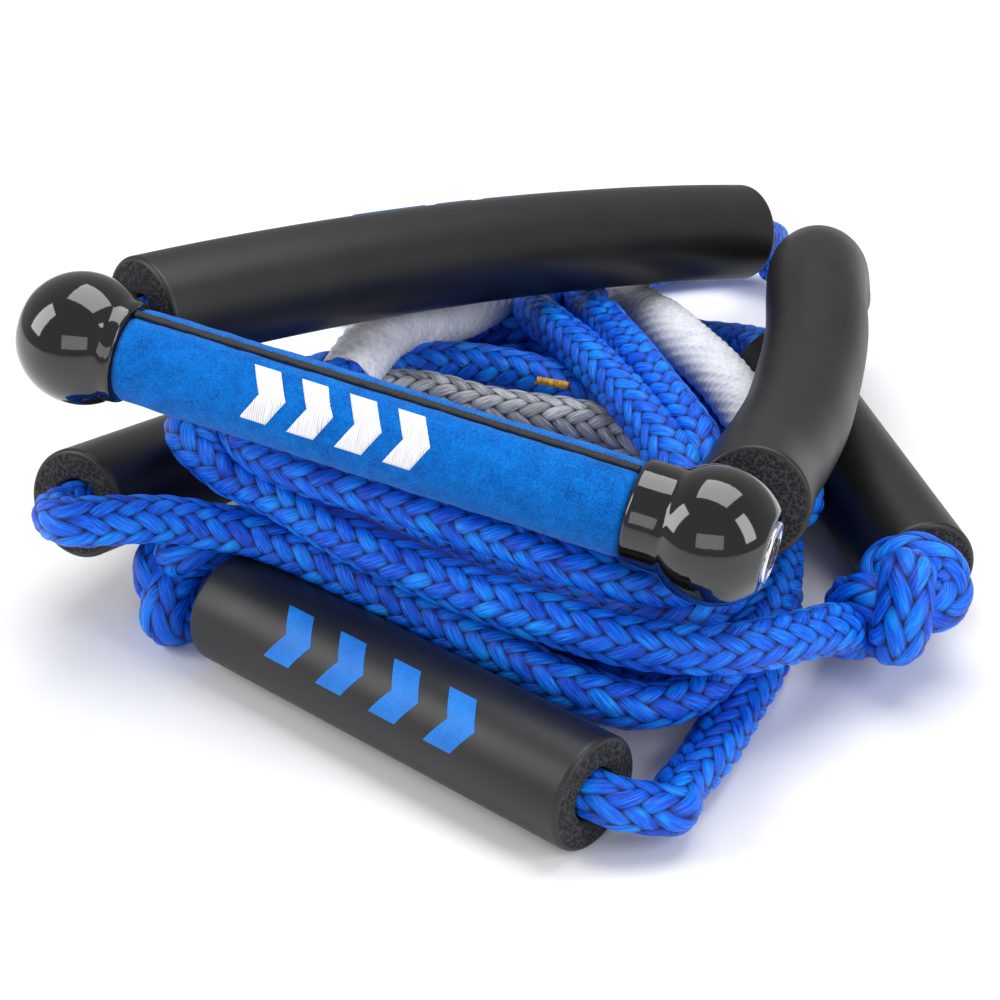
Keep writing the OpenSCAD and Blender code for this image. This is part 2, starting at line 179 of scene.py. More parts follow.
def relax(T, iters):
    """Settles the whole rope: it keeps its length and bends smoothly, and its strands, the floats, the handle and the floor push it out of themselves."""
    X = T.copy(); idx = np.arange(len(X)); free = (~PIN)[:, None]
    for it in range(iters):
        X += (T-X)*WT[:, None]
        L2 = X.copy(); L2[2:-2] = (-X[:-4]+4*X[1:-3]+4*X[3:-1]-X[4:])/6
        L1 = X.copy(); L1[1:-1] = 0.5*(X[:-2]+X[2:])
        X = np.where(free, X+0.25*(L2-X)+0.06*(L1-X), X)
        for _ in range(2):
            d = X[1:]-X[:-1]; l = np.linalg.norm(d, axis=1); mv = d*(0.175*(l-STEP)/np.maximum(l, 1e-9))[:, None]
            A = np.zeros_like(X); A[:-1] += mv; A[1:] -= mv; X = np.where(free, X+A, X)
        D = X[:, None, :]-X[None, :, :]; r2 = (D**2).sum(2); rr = (RAD[:, None]+RAD[None, :])*0.93
        i, j = np.nonzero((r2 < rr**2) & (idx[None, :]-idx[:, None] > 5))
        if len(i):
            v = D[i, j]; l = np.maximum(np.sqrt(r2[i, j]), 1e-3); mv = v*(0.25*(rr[i, j]-l)/l)[:, None]
            A = np.zeros_like(X); C = np.zeros(len(X)); np.add.at(A, i, mv); np.add.at(A, j, -mv); np.add.at(C, i, 1); np.add.at(C, j, 1)
            X = np.where(free, X+A/np.maximum(1, C*0.5)[:, None], X)
        for a, b, r, lo, hi in CAPS:
            ab = b-a; t = np.clip(((X-a)@ab)/(ab@ab), 0, 1); q = a+t[:, None]*ab; v = X-q; l = np.linalg.norm(v, axis=1); need = r+RAD*0.97
            hit = (l < need) & ~PIN & ~((idx >= lo) & (idx <= hi))
            X[hit] = q[hit]+v[hit]/np.maximum(l[hit], 1e-6)[:, None]*(l[hit]+(need[hit]-l[hit])*0.6)[:, None]
        low = (X[:, 2] < RAD) & ~PIN; X[low, 2] = RAD[low]
    return X
X = relax(T, 200)

# how the strands squeeze each other: a matrix of the directions that each point is pressed from
D = X[:, None, :]-X[None, :, :]; dist = np.linalg.norm(D, axis=2); idx = np.arange(N_ALL)
near = (dist < (RAD[:, None]+RAD[None, :])*1.18) & (np.abs(idx[:, None]-idx[None, :]) > 5)
PRESS = np.zeros((N_ALL, 3, 3))
for i in range(N_ALL):
    j = np.nonzero(near[i])[0]
    if len(j):
        u = D[i, j]/dist[i, j][:, None]; PRESS[i] += np.einsum("ki,kj->ij", u, u)
    if X[i, 2] < RAD[i]+1.5: PRESS[i, 2, 2] += 1.2
    for a, b, r, lo, hi in CAPS:
        if lo <= i <= hi: continue
        ab = b-a; t = np.clip(((X[i]-a)@ab)/(ab@ab), 0, 1); v = X[i]-a-t*ab; l = np.linalg.norm(v)
        if l < r+RAD[i]+2: PRESS[i] += np.outer(v, v)/l/l
PRESS[PIN] = 0
g = np.exp(-0.5*(np.arange(-8, 9)/3.5)**2); g /= g.sum()
PF = PRESS.reshape(N_ALL, 9); PF = np.stack([np.convolve(np.pad(PF[:, k], 8, mode="edge"), g, "valid") for k in range(9)], 1)

# ------------------------------------------------------------------ braided meshes
def new_mesh(name, verts, faces, uvs=None, smooth=True):
    me = bpy.data.meshes.new(name); me.from_pydata([tuple(v) for v in verts] if not isinstance(verts, np.ndarray) else verts.tolist(), [], faces)
    if smooth: me.polygons.foreach_set("use_smooth", [True]*len(me.polygons))
    if uvs is not None:
        lay = me.uv_layers.new(name="UVMap"); li = np.empty(len(me.loops), int); me.loops.foreach_get("vertex_index", li)
        lay.data.foreach_set("uv", uvs(li, me).astype(np.float32).ravel())
    me.update(); ob = bpy.data.objects.new(name, me); scene.collection.objects.link(ob)
    return ob

def frames(P):
    """Tangents and two side directions along P that don't twist."""
    t = np.gradient(P, axis=0); t /= np.linalg.norm(t, axis=1)[:, None]
    u = np.zeros_like(P); a = np.cross(t[0], (0, 0, 1.0)); u[0] = a/np.linalg.norm(a)
    for i in range(1, len(P)):
        a = u[i-1]-t[i]*np.dot(u[i-1], t[i]); u[i] = a/np.linalg.norm(a)
    return t, u, np.cross(t, u)

def twill(p, q):
    """Height of a 2 over 2 braid at p, q, from 0 in the gaps to 1 on a ribbon's back."""
    i, j = np.floor(p), np.floor(q); fp, fq = p-i, q-j; s = np.mod(i+j, 4)
    right = s < 1.5
    across = np.where(right, fp, fq); along = np.where(right, fq, fp)+np.where((s == 1) | (s == 3), 1.0, 0.0)
    c = np.sqrt(np.clip(1-(2*across-1)**2*0.98, 0, 1)); g = np.clip(np.sin(np.pi*along/2), 0, 1)**0.55
    return c*(0.25+0.75*g)

def braid(name, P, R, press=None, nv=72, step=1.0, carriers=12, pitch=6.3, high=0.75, flatten=0.30, ends=(0.0, 0.0), u0=0.0, shape="twill", close=True):
    """A braided tube along P (mm). press holds the squeeze matrices at P's points, as 9 numbers a row."""
    more = [np.asarray(R, float)*np.ones(len(P))]
    if press is not None: more.append(press)
    Pd, pr = hermite(np.asarray(P, float), 8); k = np.clip(pr, 0, len(P)-1)
    def along(A):
        A = np.asarray(A, float); x = np.arange(len(P))
        return np.interp(k, x, A) if A.ndim == 1 else np.stack([np.interp(k, x, A[:, c]) for c in range(A.shape[1])], 1)
    got = even(Pd, step, *[along(A) for A in more]); C, s = got[0], got[1]; Rr = got[2]
    t, u, v = frames(C); n = len(C); phi = np.linspace(0, 2*math.pi, nv, endpoint=False)
    rad = np.repeat(Rr[:, None], nv, 1)
    if press is not None:
        Mx = got[3].reshape(n, 3, 3); uu = np.einsum("ni,nij,nj->n", u, Mx, u); vv = np.einsum("ni,nij,nj->n", v, Mx, v); uv = np.einsum("ni,nij,nj->n", u, Mx, v)
        tr = np.maximum(uu+vv, 0.8); c2, s2 = (uu-vv)/tr, 2*uv/tr; m = np.maximum(1, np.hypot(c2, s2)); c2, s2 = c2/m, s2/m
        sh = c2[:, None]*np.cos(2*phi)+s2[:, None]*np.sin(2*phi)
        rad = rad*(1.03-0.5*flatten*sh)
    U = phi/(2*math.pi)
    if shape == "twill":
        p = carriers*U[None, :]+(s/pitch+u0)[:, None]; q = carriers*U[None, :]-(s/pitch+u0)[:, None]
        h = twill(p, q); rad = rad+high*(h-0.62)*(Rr[:, None]/8.0)
    else:
        wave = s[:, None]/2.25+0.55*np.abs(np.sin(2*phi+0.6))[None, :]+0.35*np.sin(s/17.0)[:, None]
        rr = np.sin(2*math.pi*wave); rad = rad+0.36*np.sign(rr)*np.abs(rr)**0.7+0.22*np.sin(9*phi[None, :]+s[:, None]*0.31)
        rad = rad+0.35*np.sin(s/23.0)[:, None]
    for which, e in ((0, ends[0]), (1, ends[1])):
        if e > 0:
            dd = s if which == 0 else s[-1]-s; f = np.clip(dd/e, 0, 1); rad = rad*np.sqrt(np.clip(1-(1-f)**2, 0.02, 1))[:, None]
    W = C[:, None, :]+rad[:, :, None]*(np.cos(phi)[None, :, None]*u[:, None, :]+np.sin(phi)[None, :, None]*v[:, None, :])
    verts = W.reshape(-1, 3); a = (np.arange(n-1)[:, None]*nv+np.arange(nv)[None, :]); b = (np.arange(n-1)[:, None]*nv+(np.arange(nv)+1)[None, :] % nv)
    faces = np.stack([a, b, b+nv, a+nv], 2).reshape(-1, 4).tolist()
    verts = np.vstack([verts, C[0], C[-1]]); c0, c1 = n*nv, n*nv+1
    if close:
        faces += [[(j+1) % nv, j, c0] for j in range(nv)]; faces += [[(n-1)*nv+j, (n-1)*nv+(j+1) % nv, c1] for j in range(nv)]
    def uvs(li, me):
        ring, col = li//nv, li % nv; uvv = np.zeros((len(li), 2)); ok = li < n*nv
        uvv[ok, 0] = col[ok]/nv; uvv[ok, 1] = s[np.minimum(ring[ok], n-1)]/pitch+u0; uvv[~ok, 1] = np.where(li[~ok] == c0, u0, s[-1]/pitch+u0)
        start = np.empty(len(me.polygons), int); tot = np.empty(len(me.polygons), int); me.polygons.foreach_get("loop_start", start); me.polygons.foreach_get("loop_total", tot)
        q4 = start[tot == 4]
        for base in (q4,):
            cols = np.stack([uvv[base+k, 0] for k in range(4)], 1); wrap = (cols.max(1)-cols.min(1)) > 0.5
            for k in range(4):
                m = wrap & (cols[:, k] < 0.5); uvv[(base+k)[m], 0] += 1
        return uvv
    ob = new_mesh(name, M(verts), faces, uvs)
    line = M(C[::max(1, int(4/step))]) if len(C) > 40 else M(C)
    if np.linalg.norm(line[-1]-M(C[-1])) > 1e-6: line = np.vstack([line, M(C[-1])])
    return ob, line, length(C)/1000

# ------------------------------------------------------------------ materials
class Mat:
    """A small helper that wires a node material."""
    def __init__(self, name):
        self.m = bpy.data.materials.new(name); self.m.use_nodes = True; self.t = self.m.node_tree
        self.b = self.t.nodes["Principled BSDF"]
    def n(self, kind, **kw):
        o = self.t.nodes.new(kind)
        for k, v in kw.items():
            if k.startswith("i_"): o.inputs[k[2:].replace("_", " ")].default_value = v
            else: setattr(o, k, v)
        return o
    def link(self, a, b): self.t.links.new(a, b)
    def math(self, op, a, b=None, c=None):
        o = self.t.nodes.new("ShaderNodeMath"); o.operation = op
        for i, x in enumerate((a, b, c)):
            if x is None: continue
            if isinstance(x, (int, float)): o.inputs[i].default_value = x
            else: self.link(x, o.inputs[i])
        return o.outputs[0]
    def ramp(self, fac, stops):
        o = self.t.nodes.new("ShaderNodeValToRGB"); e = o.color_ramp.elements
        while len(e) < len(stops): e.new(0.5)
        for k, (p, c) in enumerate(stops): e[k].position = p; e[k].color = tuple(c)+(1,) if len(c) == 3 else c
        self.link(fac, o.inputs[0]); return o.outputs[0]
    def coords(self, kind="Object"): return self.n("ShaderNodeTexCoord").outputs[kind]
    def noise(self, vec, scale, detail=3, rough=0.55, out="Fac"):
        o = self.n("ShaderNodeTexNoise"); o.inputs["Scale"].default_value = scale; o.inputs["Detail"].default_value = detail; o.inputs["Roughness"].default_value = rough
        if vec is not None: self.link(vec, o.inputs["Vector"])
        return o.outputs[out]
    def bump(self, height, strength, dist, normal=None):
        o = self.n("ShaderNodeBump"); o.inputs["Strength"].default_value = strength; o.inputs["Distance"].default_value = dist; self.link(height, o.inputs["Height"])
        if normal is not None: self.link(normal, o.inputs["Normal"])
        return o.outputs[0]
    def set(self, **kw):
        for k, v in kw.items():
            s = self.b.inputs[k.replace("_", " ")]
            if isinstance(v, (int, float)): s.default_value = v
            elif isinstance(v, tuple): s.default_value = v if len(v) == 4 else v+(1,)
            else: self.link(v, s)
        return self.m

def rope_mat(name, deep, mid, light, gap, carriers=8, rough=0.40):
    k = Mat(name); uv = k.n("ShaderNodeUVMap"); uv.uv_map = "UVMap"; sep = k.n("ShaderNodeSeparateXYZ"); k.link(uv.outputs[0], sep.inputs[0])
    U, W = sep.outputs[0], sep.outputs[1]; cu = k.math("MULTIPLY", U, float(carriers)); p = k.math("ADD", cu, W); q = k.math("SUBTRACT", cu, W)
    i, j = k.math("FLOOR", p), k.math("FLOOR", q); sij = k.math("FLOORED_MODULO", k.math("ADD", i, j), 4.0); right = k.math("LESS_THAN", sij, 1.5)
    odd = k.math("GREATER_THAN", k.math("FLOORED_MODULO", sij, 2.0), 0.5)
    def mix(a, b):
        o = k.n("ShaderNodeMix"); o.data_type = "FLOAT"; k.link(right, o.inputs[0]); k.link(b, o.inputs[2]); k.link(a, o.inputs[3]); return o.outputs[0]
    across, along = mix(p, q), mix(q, p)
    ribbon = k.math("FLOOR", across)
    comb = k.n("ShaderNodeCombineXYZ"); k.link(k.math("MULTIPLY", across, 11.0), comb.inputs[0]); k.link(k.math("MULTIPLY", along, 0.7), comb.inputs[1]); k.link(k.math("MULTIPLY", right, 7.0), comb.inputs[2])
    fil = k.noise(comb.outputs[0], 1.0, 3, 0.62)
    comb2 = k.n("ShaderNodeCombineXYZ"); k.link(k.math("MULTIPLY", ribbon, 3.7), comb2.inputs[0]); k.link(k.math("MULTIPLY", along, 0.35), comb2.inputs[1]); k.link(k.math("MULTIPLY", right, 5.0), comb2.inputs[2])
    tone = k.noise(comb2.outputs[0], 1.0, 1, 0.5)
    # painted shade: the gap colour is mixed in towards each ribbon's edges and ends, and most in the corners between
    # ribbons, where the braid's recesses lie in shade
    fa = k.math("MULTIPLY", k.math("ABSOLUTE", k.math("SUBTRACT", k.math("FRACT", across), 0.5)), 2.0)
    fb = k.math("ABSOLUTE", k.math("SUBTRACT", k.math("ADD", k.math("FRACT", along), odd), 1.0))
    painted_gap_shade = k.math("MAXIMUM", k.math("POWER", fa, 9.0), k.math("POWER", fb, 7.0)); corner = k.math("POWER", k.math("MULTIPLY", fa, fb), 2.2)
    painted_gap_shade = k.math("MINIMUM", k.math("ADD", k.math("MULTIPLY", painted_gap_shade, 0.55), k.math("MULTIPLY", corner, 1.3)), 1.0)
    # filament and ribbon noise picks the colour from deep through mid to light: partly random tone, partly painted
    # shade (deep) and painted highlights (light) on the shiny filaments
    val = k.math("ADD", k.math("MULTIPLY", fil, 0.75), k.math("MULTIPLY", tone, 0.45)); val = k.math("SUBTRACT", val, 0.10)
    col = k.ramp(val, [(0.36, deep), (0.50, mid), (0.63, light)])
    o = k.n("ShaderNodeMix"); o.data_type = "RGBA"; k.link(painted_gap_shade, o.inputs[0]); k.link(col, o.inputs[6]); o.inputs[7].default_value = tuple(gap)+(1,)
    rg = k.math("MULTIPLY_ADD", fil, 0.24, rough-0.12)
    nrm = k.bump(fil, 0.9, 0.0006)
    return k.set(Base_Color=o.outputs[2], Roughness=rg, Normal=nrm, Sheen_Weight=0.02, Sheen_Roughness=0.4, Specular_IOR_Level=0.26)

MAT = {}
# the last colour of each rope is painted shade for the gaps between its ribbons
MAT["blue"] = rope_mat("blue_rope", (0.0, 0.036, 0.46), (0.0, 0.125, 0.86), (0.0, 0.31, 1.0), (0.0, 0.005, 0.09))
MAT["grey"] = rope_mat("grey_rope", (0.13, 0.14, 0.155), (0.33, 0.345, 0.37), (0.62, 0.64, 0.68), (0.02, 0.022, 0.03))
def bungee_mat():
    k = Mat("white_bungee"); obj = k.coords(); f = k.noise(obj, 900.0, 3); g = k.noise(obj, 120.0, 2)
    val = k.math("ADD", k.math("MULTIPLY", f, 0.5), k.math("MULTIPLY", g, 0.5)); col = k.ramp(val, [(0.25, (0.44, 0.47, 0.58)), (0.5, (0.72, 0.74, 0.80)), (0.75, (0.86, 0.87, 0.90))])
    return k.set(Base_Color=col, Roughness=0.62, Normal=k.bump(f, 0.35, 0.0004), Sheen_Weight=0.05, Sheen_Roughness=0.5)
MAT["bungee"] = bungee_mat()
def whip_mat():
    k = Mat("whipping_thread"); f = k.noise(k.coords(), 700.0, 2); col = k.ramp(f, [(0.3, (0.32, 0.17, 0.01)), (0.6, (0.62, 0.36, 0.03)), (0.8, (0.80, 0.52, 0.10))])
    return k.set(Base_Color=col, Roughness=0.55, Normal=k.bump(f, 0.4, 0.0003))
MAT["whip"] = whip_mat()
def foam_mat(name, skin):
    k = Mat(name); obj = k.coords()
    if skin:
        f = k.noise(obj, 1400.0, 3, 0.6); g = k.noise(obj, 55.0, 3); h = k.noise(obj, 9.0, 2)
        val = k.math("ADD", k.math("MULTIPLY", g, 0.55), k.math("MULTIPLY", h, 0.45)); col = k.ramp(val, [(0.30, (0.0045, 0.0045, 0.005)), (0.55, (0.0075, 0.0075, 0.008)), (0.8, (0.0115, 0.0115, 0.012))])
        n = k.bump(f, 0.30, 0.00012, k.bump(g, 0.10, 0.0008)); return k.set(Base_Color=col, Roughness=k.math("MULTIPLY_ADD", g, 0.12, 0.38), Normal=n, Specular_IOR_Level=0.48)
    vor = k.n("ShaderNodeTexVoronoi"); vor.inputs["Scale"].default_value = 850.0; k.link(obj, vor.inputs["Vector"]); f = k.noise(obj, 1600.0, 3, 0.7)
    val = k.math("ADD", k.math("MULTIPLY", vor.outputs["Distance"], 0.8), k.math("MULTIPLY", f, 0.5)); col = k.ramp(val, [(0.25, (0.004, 0.004, 0.0045)), (0.6, (0.018, 0.018, 0.019)), (0.95, (0.055, 0.055, 0.058))])
    return k.set(Base_Color=col, Roughness=0.86, Normal=k.bump(val, 0.9, 0.0007), Specular_IOR_Level=0.3)
MAT["foam"] = foam_mat("black_foam_skin", True); MAT["foam_cut"] = foam_mat("black_foam_cut", False)
def suede_mat():
    k = Mat("grip_suede"); obj = k.coords(); f = k.noise(obj, 1500.0, 4, 0.7); g = k.noise(obj, 160.0, 3, 0.65); h = k.noise(obj, 30.0, 2)
    val = k.math("ADD", k.math("ADD", k.math("MULTIPLY", f, 0.62), k.math("MULTIPLY", g, 0.28)), k.math("MULTIPLY", h, 0.10))
    col = k.ramp(val, [(0.36, (0.0, 0.050, 0.26)), (0.50, (0.0, 0.125, 0.50)), (0.64, (0.001, 0.20, 0.70))])
    return k.set(Base_Color=col, Roughness=0.93, Normal=k.bump(f, 0.65, 0.0005, k.bump(g, 0.35, 0.0008)), Sheen_Weight=0.08, Sheen_Roughness=0.45, Specular_IOR_Level=0.12)
MAT["suede"] = suede_mat()
def seam_mat():
    k = Mat("seam_tape"); f = k.noise(k.coords(), 1300.0, 3); col = k.ramp(f, [(0.3, (0.004, 0.004, 0.005)), (0.7, (0.022, 0.023, 0.026))])
    return k.set(Base_Color=col, Roughness=0.7, Normal=k.bump(f, 0.5, 0.0003))
MAT["seam"] = seam_mat()
def thread_mat(name, cols, scale):
    k = Mat(name); uv = k.n("ShaderNodeUVMap"); uv.uv_map = "UVMap"; sep = k.n("ShaderNodeSeparateXYZ"); k.link(uv.outputs[0], sep.inputs[0])
    comb = k.n("ShaderNodeCombineXYZ"); k.link(k.math("MULTIPLY", sep.outputs[0], scale), comb.inputs[0]); k.link(k.math("MULTIPLY", sep.outputs[1], 1.2), comb.inputs[1])
    f = k.noise(comb.outputs[0], 1.0, 2); w = k.math("SINE", k.math("MULTIPLY", sep.outputs[0], scale*3.2)); val = k.math("ADD", k.math("MULTIPLY", f, 0.7), k.math("MULTIPLY_ADD", w, 0.12, 0.15))
    col = k.ramp(val, list(zip((0.2, 0.5, 0.8), cols)))
    return k.set(Base_Color=col, Roughness=0.42, Normal=k.bump(val, 0.6, 0.0004), Sheen_Weight=0.2, Sheen_Roughness=0.4)
MAT["thread"] = thread_mat("emblem_thread", [(0.42, 0.42, 0.47), (0.80, 0.80, 0.84), (0.97, 0.97, 0.98)], 26.0)
def gloss_mat():
    k = Mat("gloss_black"); obj = k.coords(); f = k.noise(obj, 60.0, 3); g = k.noise(obj, 900.0, 2); col = k.ramp(f, [(0.3, (0.0022, 0.0022, 0.0024)), (0.8, (0.0045, 0.0045, 0.0048))])
    return k.set(Base_Color=col, Roughness=k.math("MULTIPLY_ADD", g, 0.05, 0.045), Normal=k.bump(f, 0.04, 0.0006), Coat_Weight=0.5, Coat_Roughness=0.03, IOR=1.52)
MAT["gloss"] = gloss_mat()
def metal_mat(name, a, b, r, streak):
    k = Mat(name); obj = k.coords(); mp = k.n("ShaderNodeMapping"); k.link(obj, mp.inputs["Vector"]); mp.inputs["Scale"].default_value = streak
    f = k.noise(mp.outputs[0], 600.0, 3); col = k.ramp(f, [(0.3, a), (0.7, b)])
    return k.set(Base_Color=col, Metallic=1.0, Roughness=k.math("MULTIPLY_ADD", f, 0.15, r), Normal=k.bump(f, 0.12, 0.0002))
MAT["alloy"] = metal_mat("alloy", (0.62, 0.63, 0.65), (0.78, 0.79, 0.80), 0.28, (0.05, 1, 1))
MAT["silver"] = metal_mat("badge_silver", (0.66, 0.66, 0.69), (0.86, 0.86, 0.88), 0.20, (1, 1, 1))
def ink_mat():
    k = Mat("print_ink"); obj = k.coords(); f = k.noise(obj, 1300.0, 3, 0.6); g = k.noise(obj, 90.0, 2); val = k.math("ADD", k.math("MULTIPLY", f, 0.5), k.math("MULTIPLY", g, 0.5))
    col = k.ramp(val, [(0.3, (0.0, 0.115, 0.48)), (0.55, (0.001, 0.185, 0.66)), (0.8, (0.004, 0.25, 0.78))])
    return k.set(Base_Color=col, Roughness=0.52, Normal=k.bump(f, 0.3, 0.00015), Specular_IOR_Level=0.4)
MAT["ink"] = ink_mat()
def core_mat():
    k = Mat("core_foam"); f = k.noise(k.coords(), 500.0, 3); col = k.ramp(f, [(0.3, (0.55, 0.54, 0.50)), (0.7, (0.86, 0.85, 0.82))])
    return k.set(Base_Color=col, Roughness=0.9, Normal=k.bump(f, 0.6, 0.0005))
MAT["core"] = core_mat()
def paint(ob, *mats):
    ob.data.materials.clear()
    for m in mats: ob.data.materials.append(MAT[m])
def dress(ob, body, slot_name, *nodes):
    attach(ob, body)
    if nodes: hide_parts(*nodes)

# ------------------------------------------------------------------ the whole rope's rings, worked out once so that the pieces meet
_Pd, _pr = hermite(X, 8); _k = np.clip(_pr, 0, N_ALL-1); _x = np.arange(N_ALL)
_at = lambda A: np.interp(_k, _x, A) if np.ndim(A) == 1 else np.stack([np.interp(_k, _x, A[:, c]) for c in range(A.shape[1])], 1)
RC, RS, RR, RPF, RK = even(_Pd, 1.0, _at(RAD), _at(PF), _k)
RT, RU, RV = frames(RC)
SECS = [r[0] for r in ROUTE]
CARR, PITCH = 8, 8.6

def span(*names):
    m = np.nonzero(np.isin(SEC, names))[0]; a, b = m.min(), min(m.max()+1, N_ALL-1)
    i0 = int(np.argmin(np.abs(RK-a))); i1 = int(np.argmin(np.abs(RK-b))); return i0, i1

def tube(name, names, nv=72, sub=1, shape="twill", high=1.12, flatten=0.30, radius=None, grow=None, ends=(0, 0), rng=None):
    """One stretch of the rope as a braided tube. Returns the piece, its line in metres and its length."""
    i0, i1 = rng if rng else span(*names); ii = np.unique(np.r_[np.arange(i0, i1, sub), i1]); n = len(ii)
    C, u, v, R, s = RC[ii], RU[ii], RV[ii], RR[ii].copy(), RS[ii]
    if radius is not None: R[:] = radius
    if grow is not None: R += grow(s-s[0], s[-1]-s)
    phi = np.linspace(0, 2*math.pi, nv, endpoint=False); Mx = RPF[ii].reshape(n, 3, 3)
    uu = np.einsum("ni,nij,nj->n", u, Mx, u); vv = np.einsum("ni,nij,nj->n", v, Mx, v); uv = np.einsum("ni,nij,nj->n", u, Mx, v)
    tr = np.maximum(uu+vv, 0.8); c2, s2 = (uu-vv)/tr, 2*uv/tr; m = np.maximum(1, np.hypot(c2, s2)); c2, s2 = c2/m, s2/m
    sh = c2[:, None]*np.cos(2*phi)+s2[:, None]*np.sin(2*phi); rad = R[:, None]*(1.02-0.5*flatten*sh)
    U = phi/(2*math.pi); V0 = s/PITCH
    if shape == "twill":
        h = twill(CARR*U[None, :]+V0[:, None], CARR*U[None, :]-V0[:, None]); rad = rad+high*(h-0.62)*(R[:, None]/8.0)
        rad = rad*(1+0.018*np.sin(s/19.0+0.7)+0.012*np.sin(s/7.3))[:, None]
    else:
        wave = s[:, None]/2.6+0.35*np.sin(phi*2+0.6)[None, :]+0.35*np.sin(s/17.0)[:, None]
        w = np.sin(2*math.pi*wave); rad = rad+0.62*np.sign(w)*np.abs(w)**0.7+0.20*np.sin(14*phi[None, :]+s[:, None]*0.9)+0.35*np.sin(s/23.0)[:, None]
    for which, e in ((0, ends[0]), (1, ends[1])):
        if e > 0:
            dd = s-s[0] if which == 0 else s[-1]-s; f = np.clip(dd/e, 0, 1); rad = rad*np.sqrt(np.clip(1-(1-f)**2, 0.03, 1))[:, None]
    W = C[:, None, :]+rad[:, :, None]*(np.cos(phi)[None, :, None]*u[:, None, :]+np.sin(phi)[None, :, None]*v[:, None, :])
    low = W[:, :, 2] < 0.15; W[:, :, 2] = np.where(low, 0.15+(W[:, :, 2]-0.15)*0.04, W[:, :, 2])
    a = np.arange(n-1)[:, None]*nv+np.arange(nv)[None, :]; b = np.arange(n-1)[:, None]*nv+(np.arange(nv)+1)[None, :] % nv
    faces = np.stack([a, b, b+nv, a+nv], 2).reshape(-1, 4).tolist(); nq = len(faces)
    verts = np.vstack([W.reshape(-1, 3), C[0], C[-1]]); c0, c1 = n*nv, n*nv+1
    faces += [[(j+1) % nv, j, c0] for j in range(nv)]; faces += [[(n-1)*nv+j, (n-1)*nv+(j+1) % nv, c1] for j in range(nv)]
    def uvs(li, me):
        uvv = np.zeros((len(li), 2)); ok = li < n*nv; uvv[ok, 0] = (li[ok] % nv)/nv; uvv[ok, 1] = V0[np.minimum(li[ok]//nv, n-1)]
        q = uvv[:nq*4].reshape(-1, 4, 2); wrap = (q[:, :, 0].max(1)-q[:, :, 0].min(1)) > 0.5; q[:, :, 0] += (wrap[:, None] & (q[:, :, 0] < 0.5))*1.0
        return uvv
    ob = new_mesh(name, M(verts), faces, uvs)
    sm = np.ones(len(ob.data.polygons), bool); sm[nq:] = False; ob.data.polygons.foreach_set("use_smooth", sm.tolist()); ob.data.update()
    return ob, M(C), length(C)/1000

def rope_piece(name, names, mat="blue", slot_name="blue_rope", nodes=(), d=0.016, reverse=False, far="object", lay="coiled", body="rope", **kw):
    ob, line, L = tube(name, names, **kw); paint(ob, mat); dress(ob, body, slot_name, *nodes)
    if reverse: line = line[::-1]
    return ob

swell = lambda a0, a1: (lambda x, y: a0*np.exp(-(x/14.0)**2)+a1*np.exp(-(y/14.0)**2))
rope_piece("rope_boat_end", ("loop", "tail", "floor"), nodes=("boat_loop", "rope_lead_boat", "rope_lead_front"), reverse=True, far="knot", lay="loose", ends=(7, 0))
rope_piece("rope_front_run", ("in_front", "knot_front", "lower"), nodes=("rope_in_float_front", "knot_front"), flatten=0.16, grow=lambda x, y: 1.6*np.clip((x-172)/15, 0, 1)*np.clip((y-35)/20, 0, 1))
rope_piece("rope_coil_low", ("l1",), nodes=("rope_coil",), nv=60, sub=1)
rope_piece("rope_coil_mid", ("l12", "l2", "to_left", "ll", "in_left"), nodes=("rope_in_float_left",), nv=60)
rope_piece("rope_front_strand", ("s2", "s2r", "m1i"), nodes=("rope_lead_left", "rope_coil_front"))
rope_piece("rope_cross_strand", ("t2", "s3"), nodes=("rope_lead_right",))
rope_piece("rope_right_run", ("knot_right", "rl", "in_right"), nodes=("knot_right", "rope_in_float_right"), flatten=0.16, grow=lambda x, y: 1.35*np.clip(x/25, 0, 1)*np.clip((y-162)/15, 0, 1))
rope_piece("rope_back_run", ("bit", "t1l", "s4"), nodes=("rope_lead_far", "rope_coil_back"))
_b0, _b1 = span("bungee"); _g0, _g1 = span("grey")
rope_piece("bungee_sleeve", ("bungee",), rng=(_b0, _b1-22), mat="bungee", slot_name="white_bungee", nodes=("bungee_section",), d=0.0195, shape="bungee", radius=9.7, flatten=0.16)
rope_piece("rope_bend", ("u",), rng=(_b1-22, _g0+16), lay="loose")
rope_piece("grey_strand", ("grey",), rng=(_g0+16, _g1), mat="grey", slot_name="grey_rope", nodes=("grey_section",), d=0.0152)
rope_piece("rope_lead_end", ("m1l", "m1", "t1r", "lead", "knot_end"), nodes=("rope_lead_bridle",), far="object")

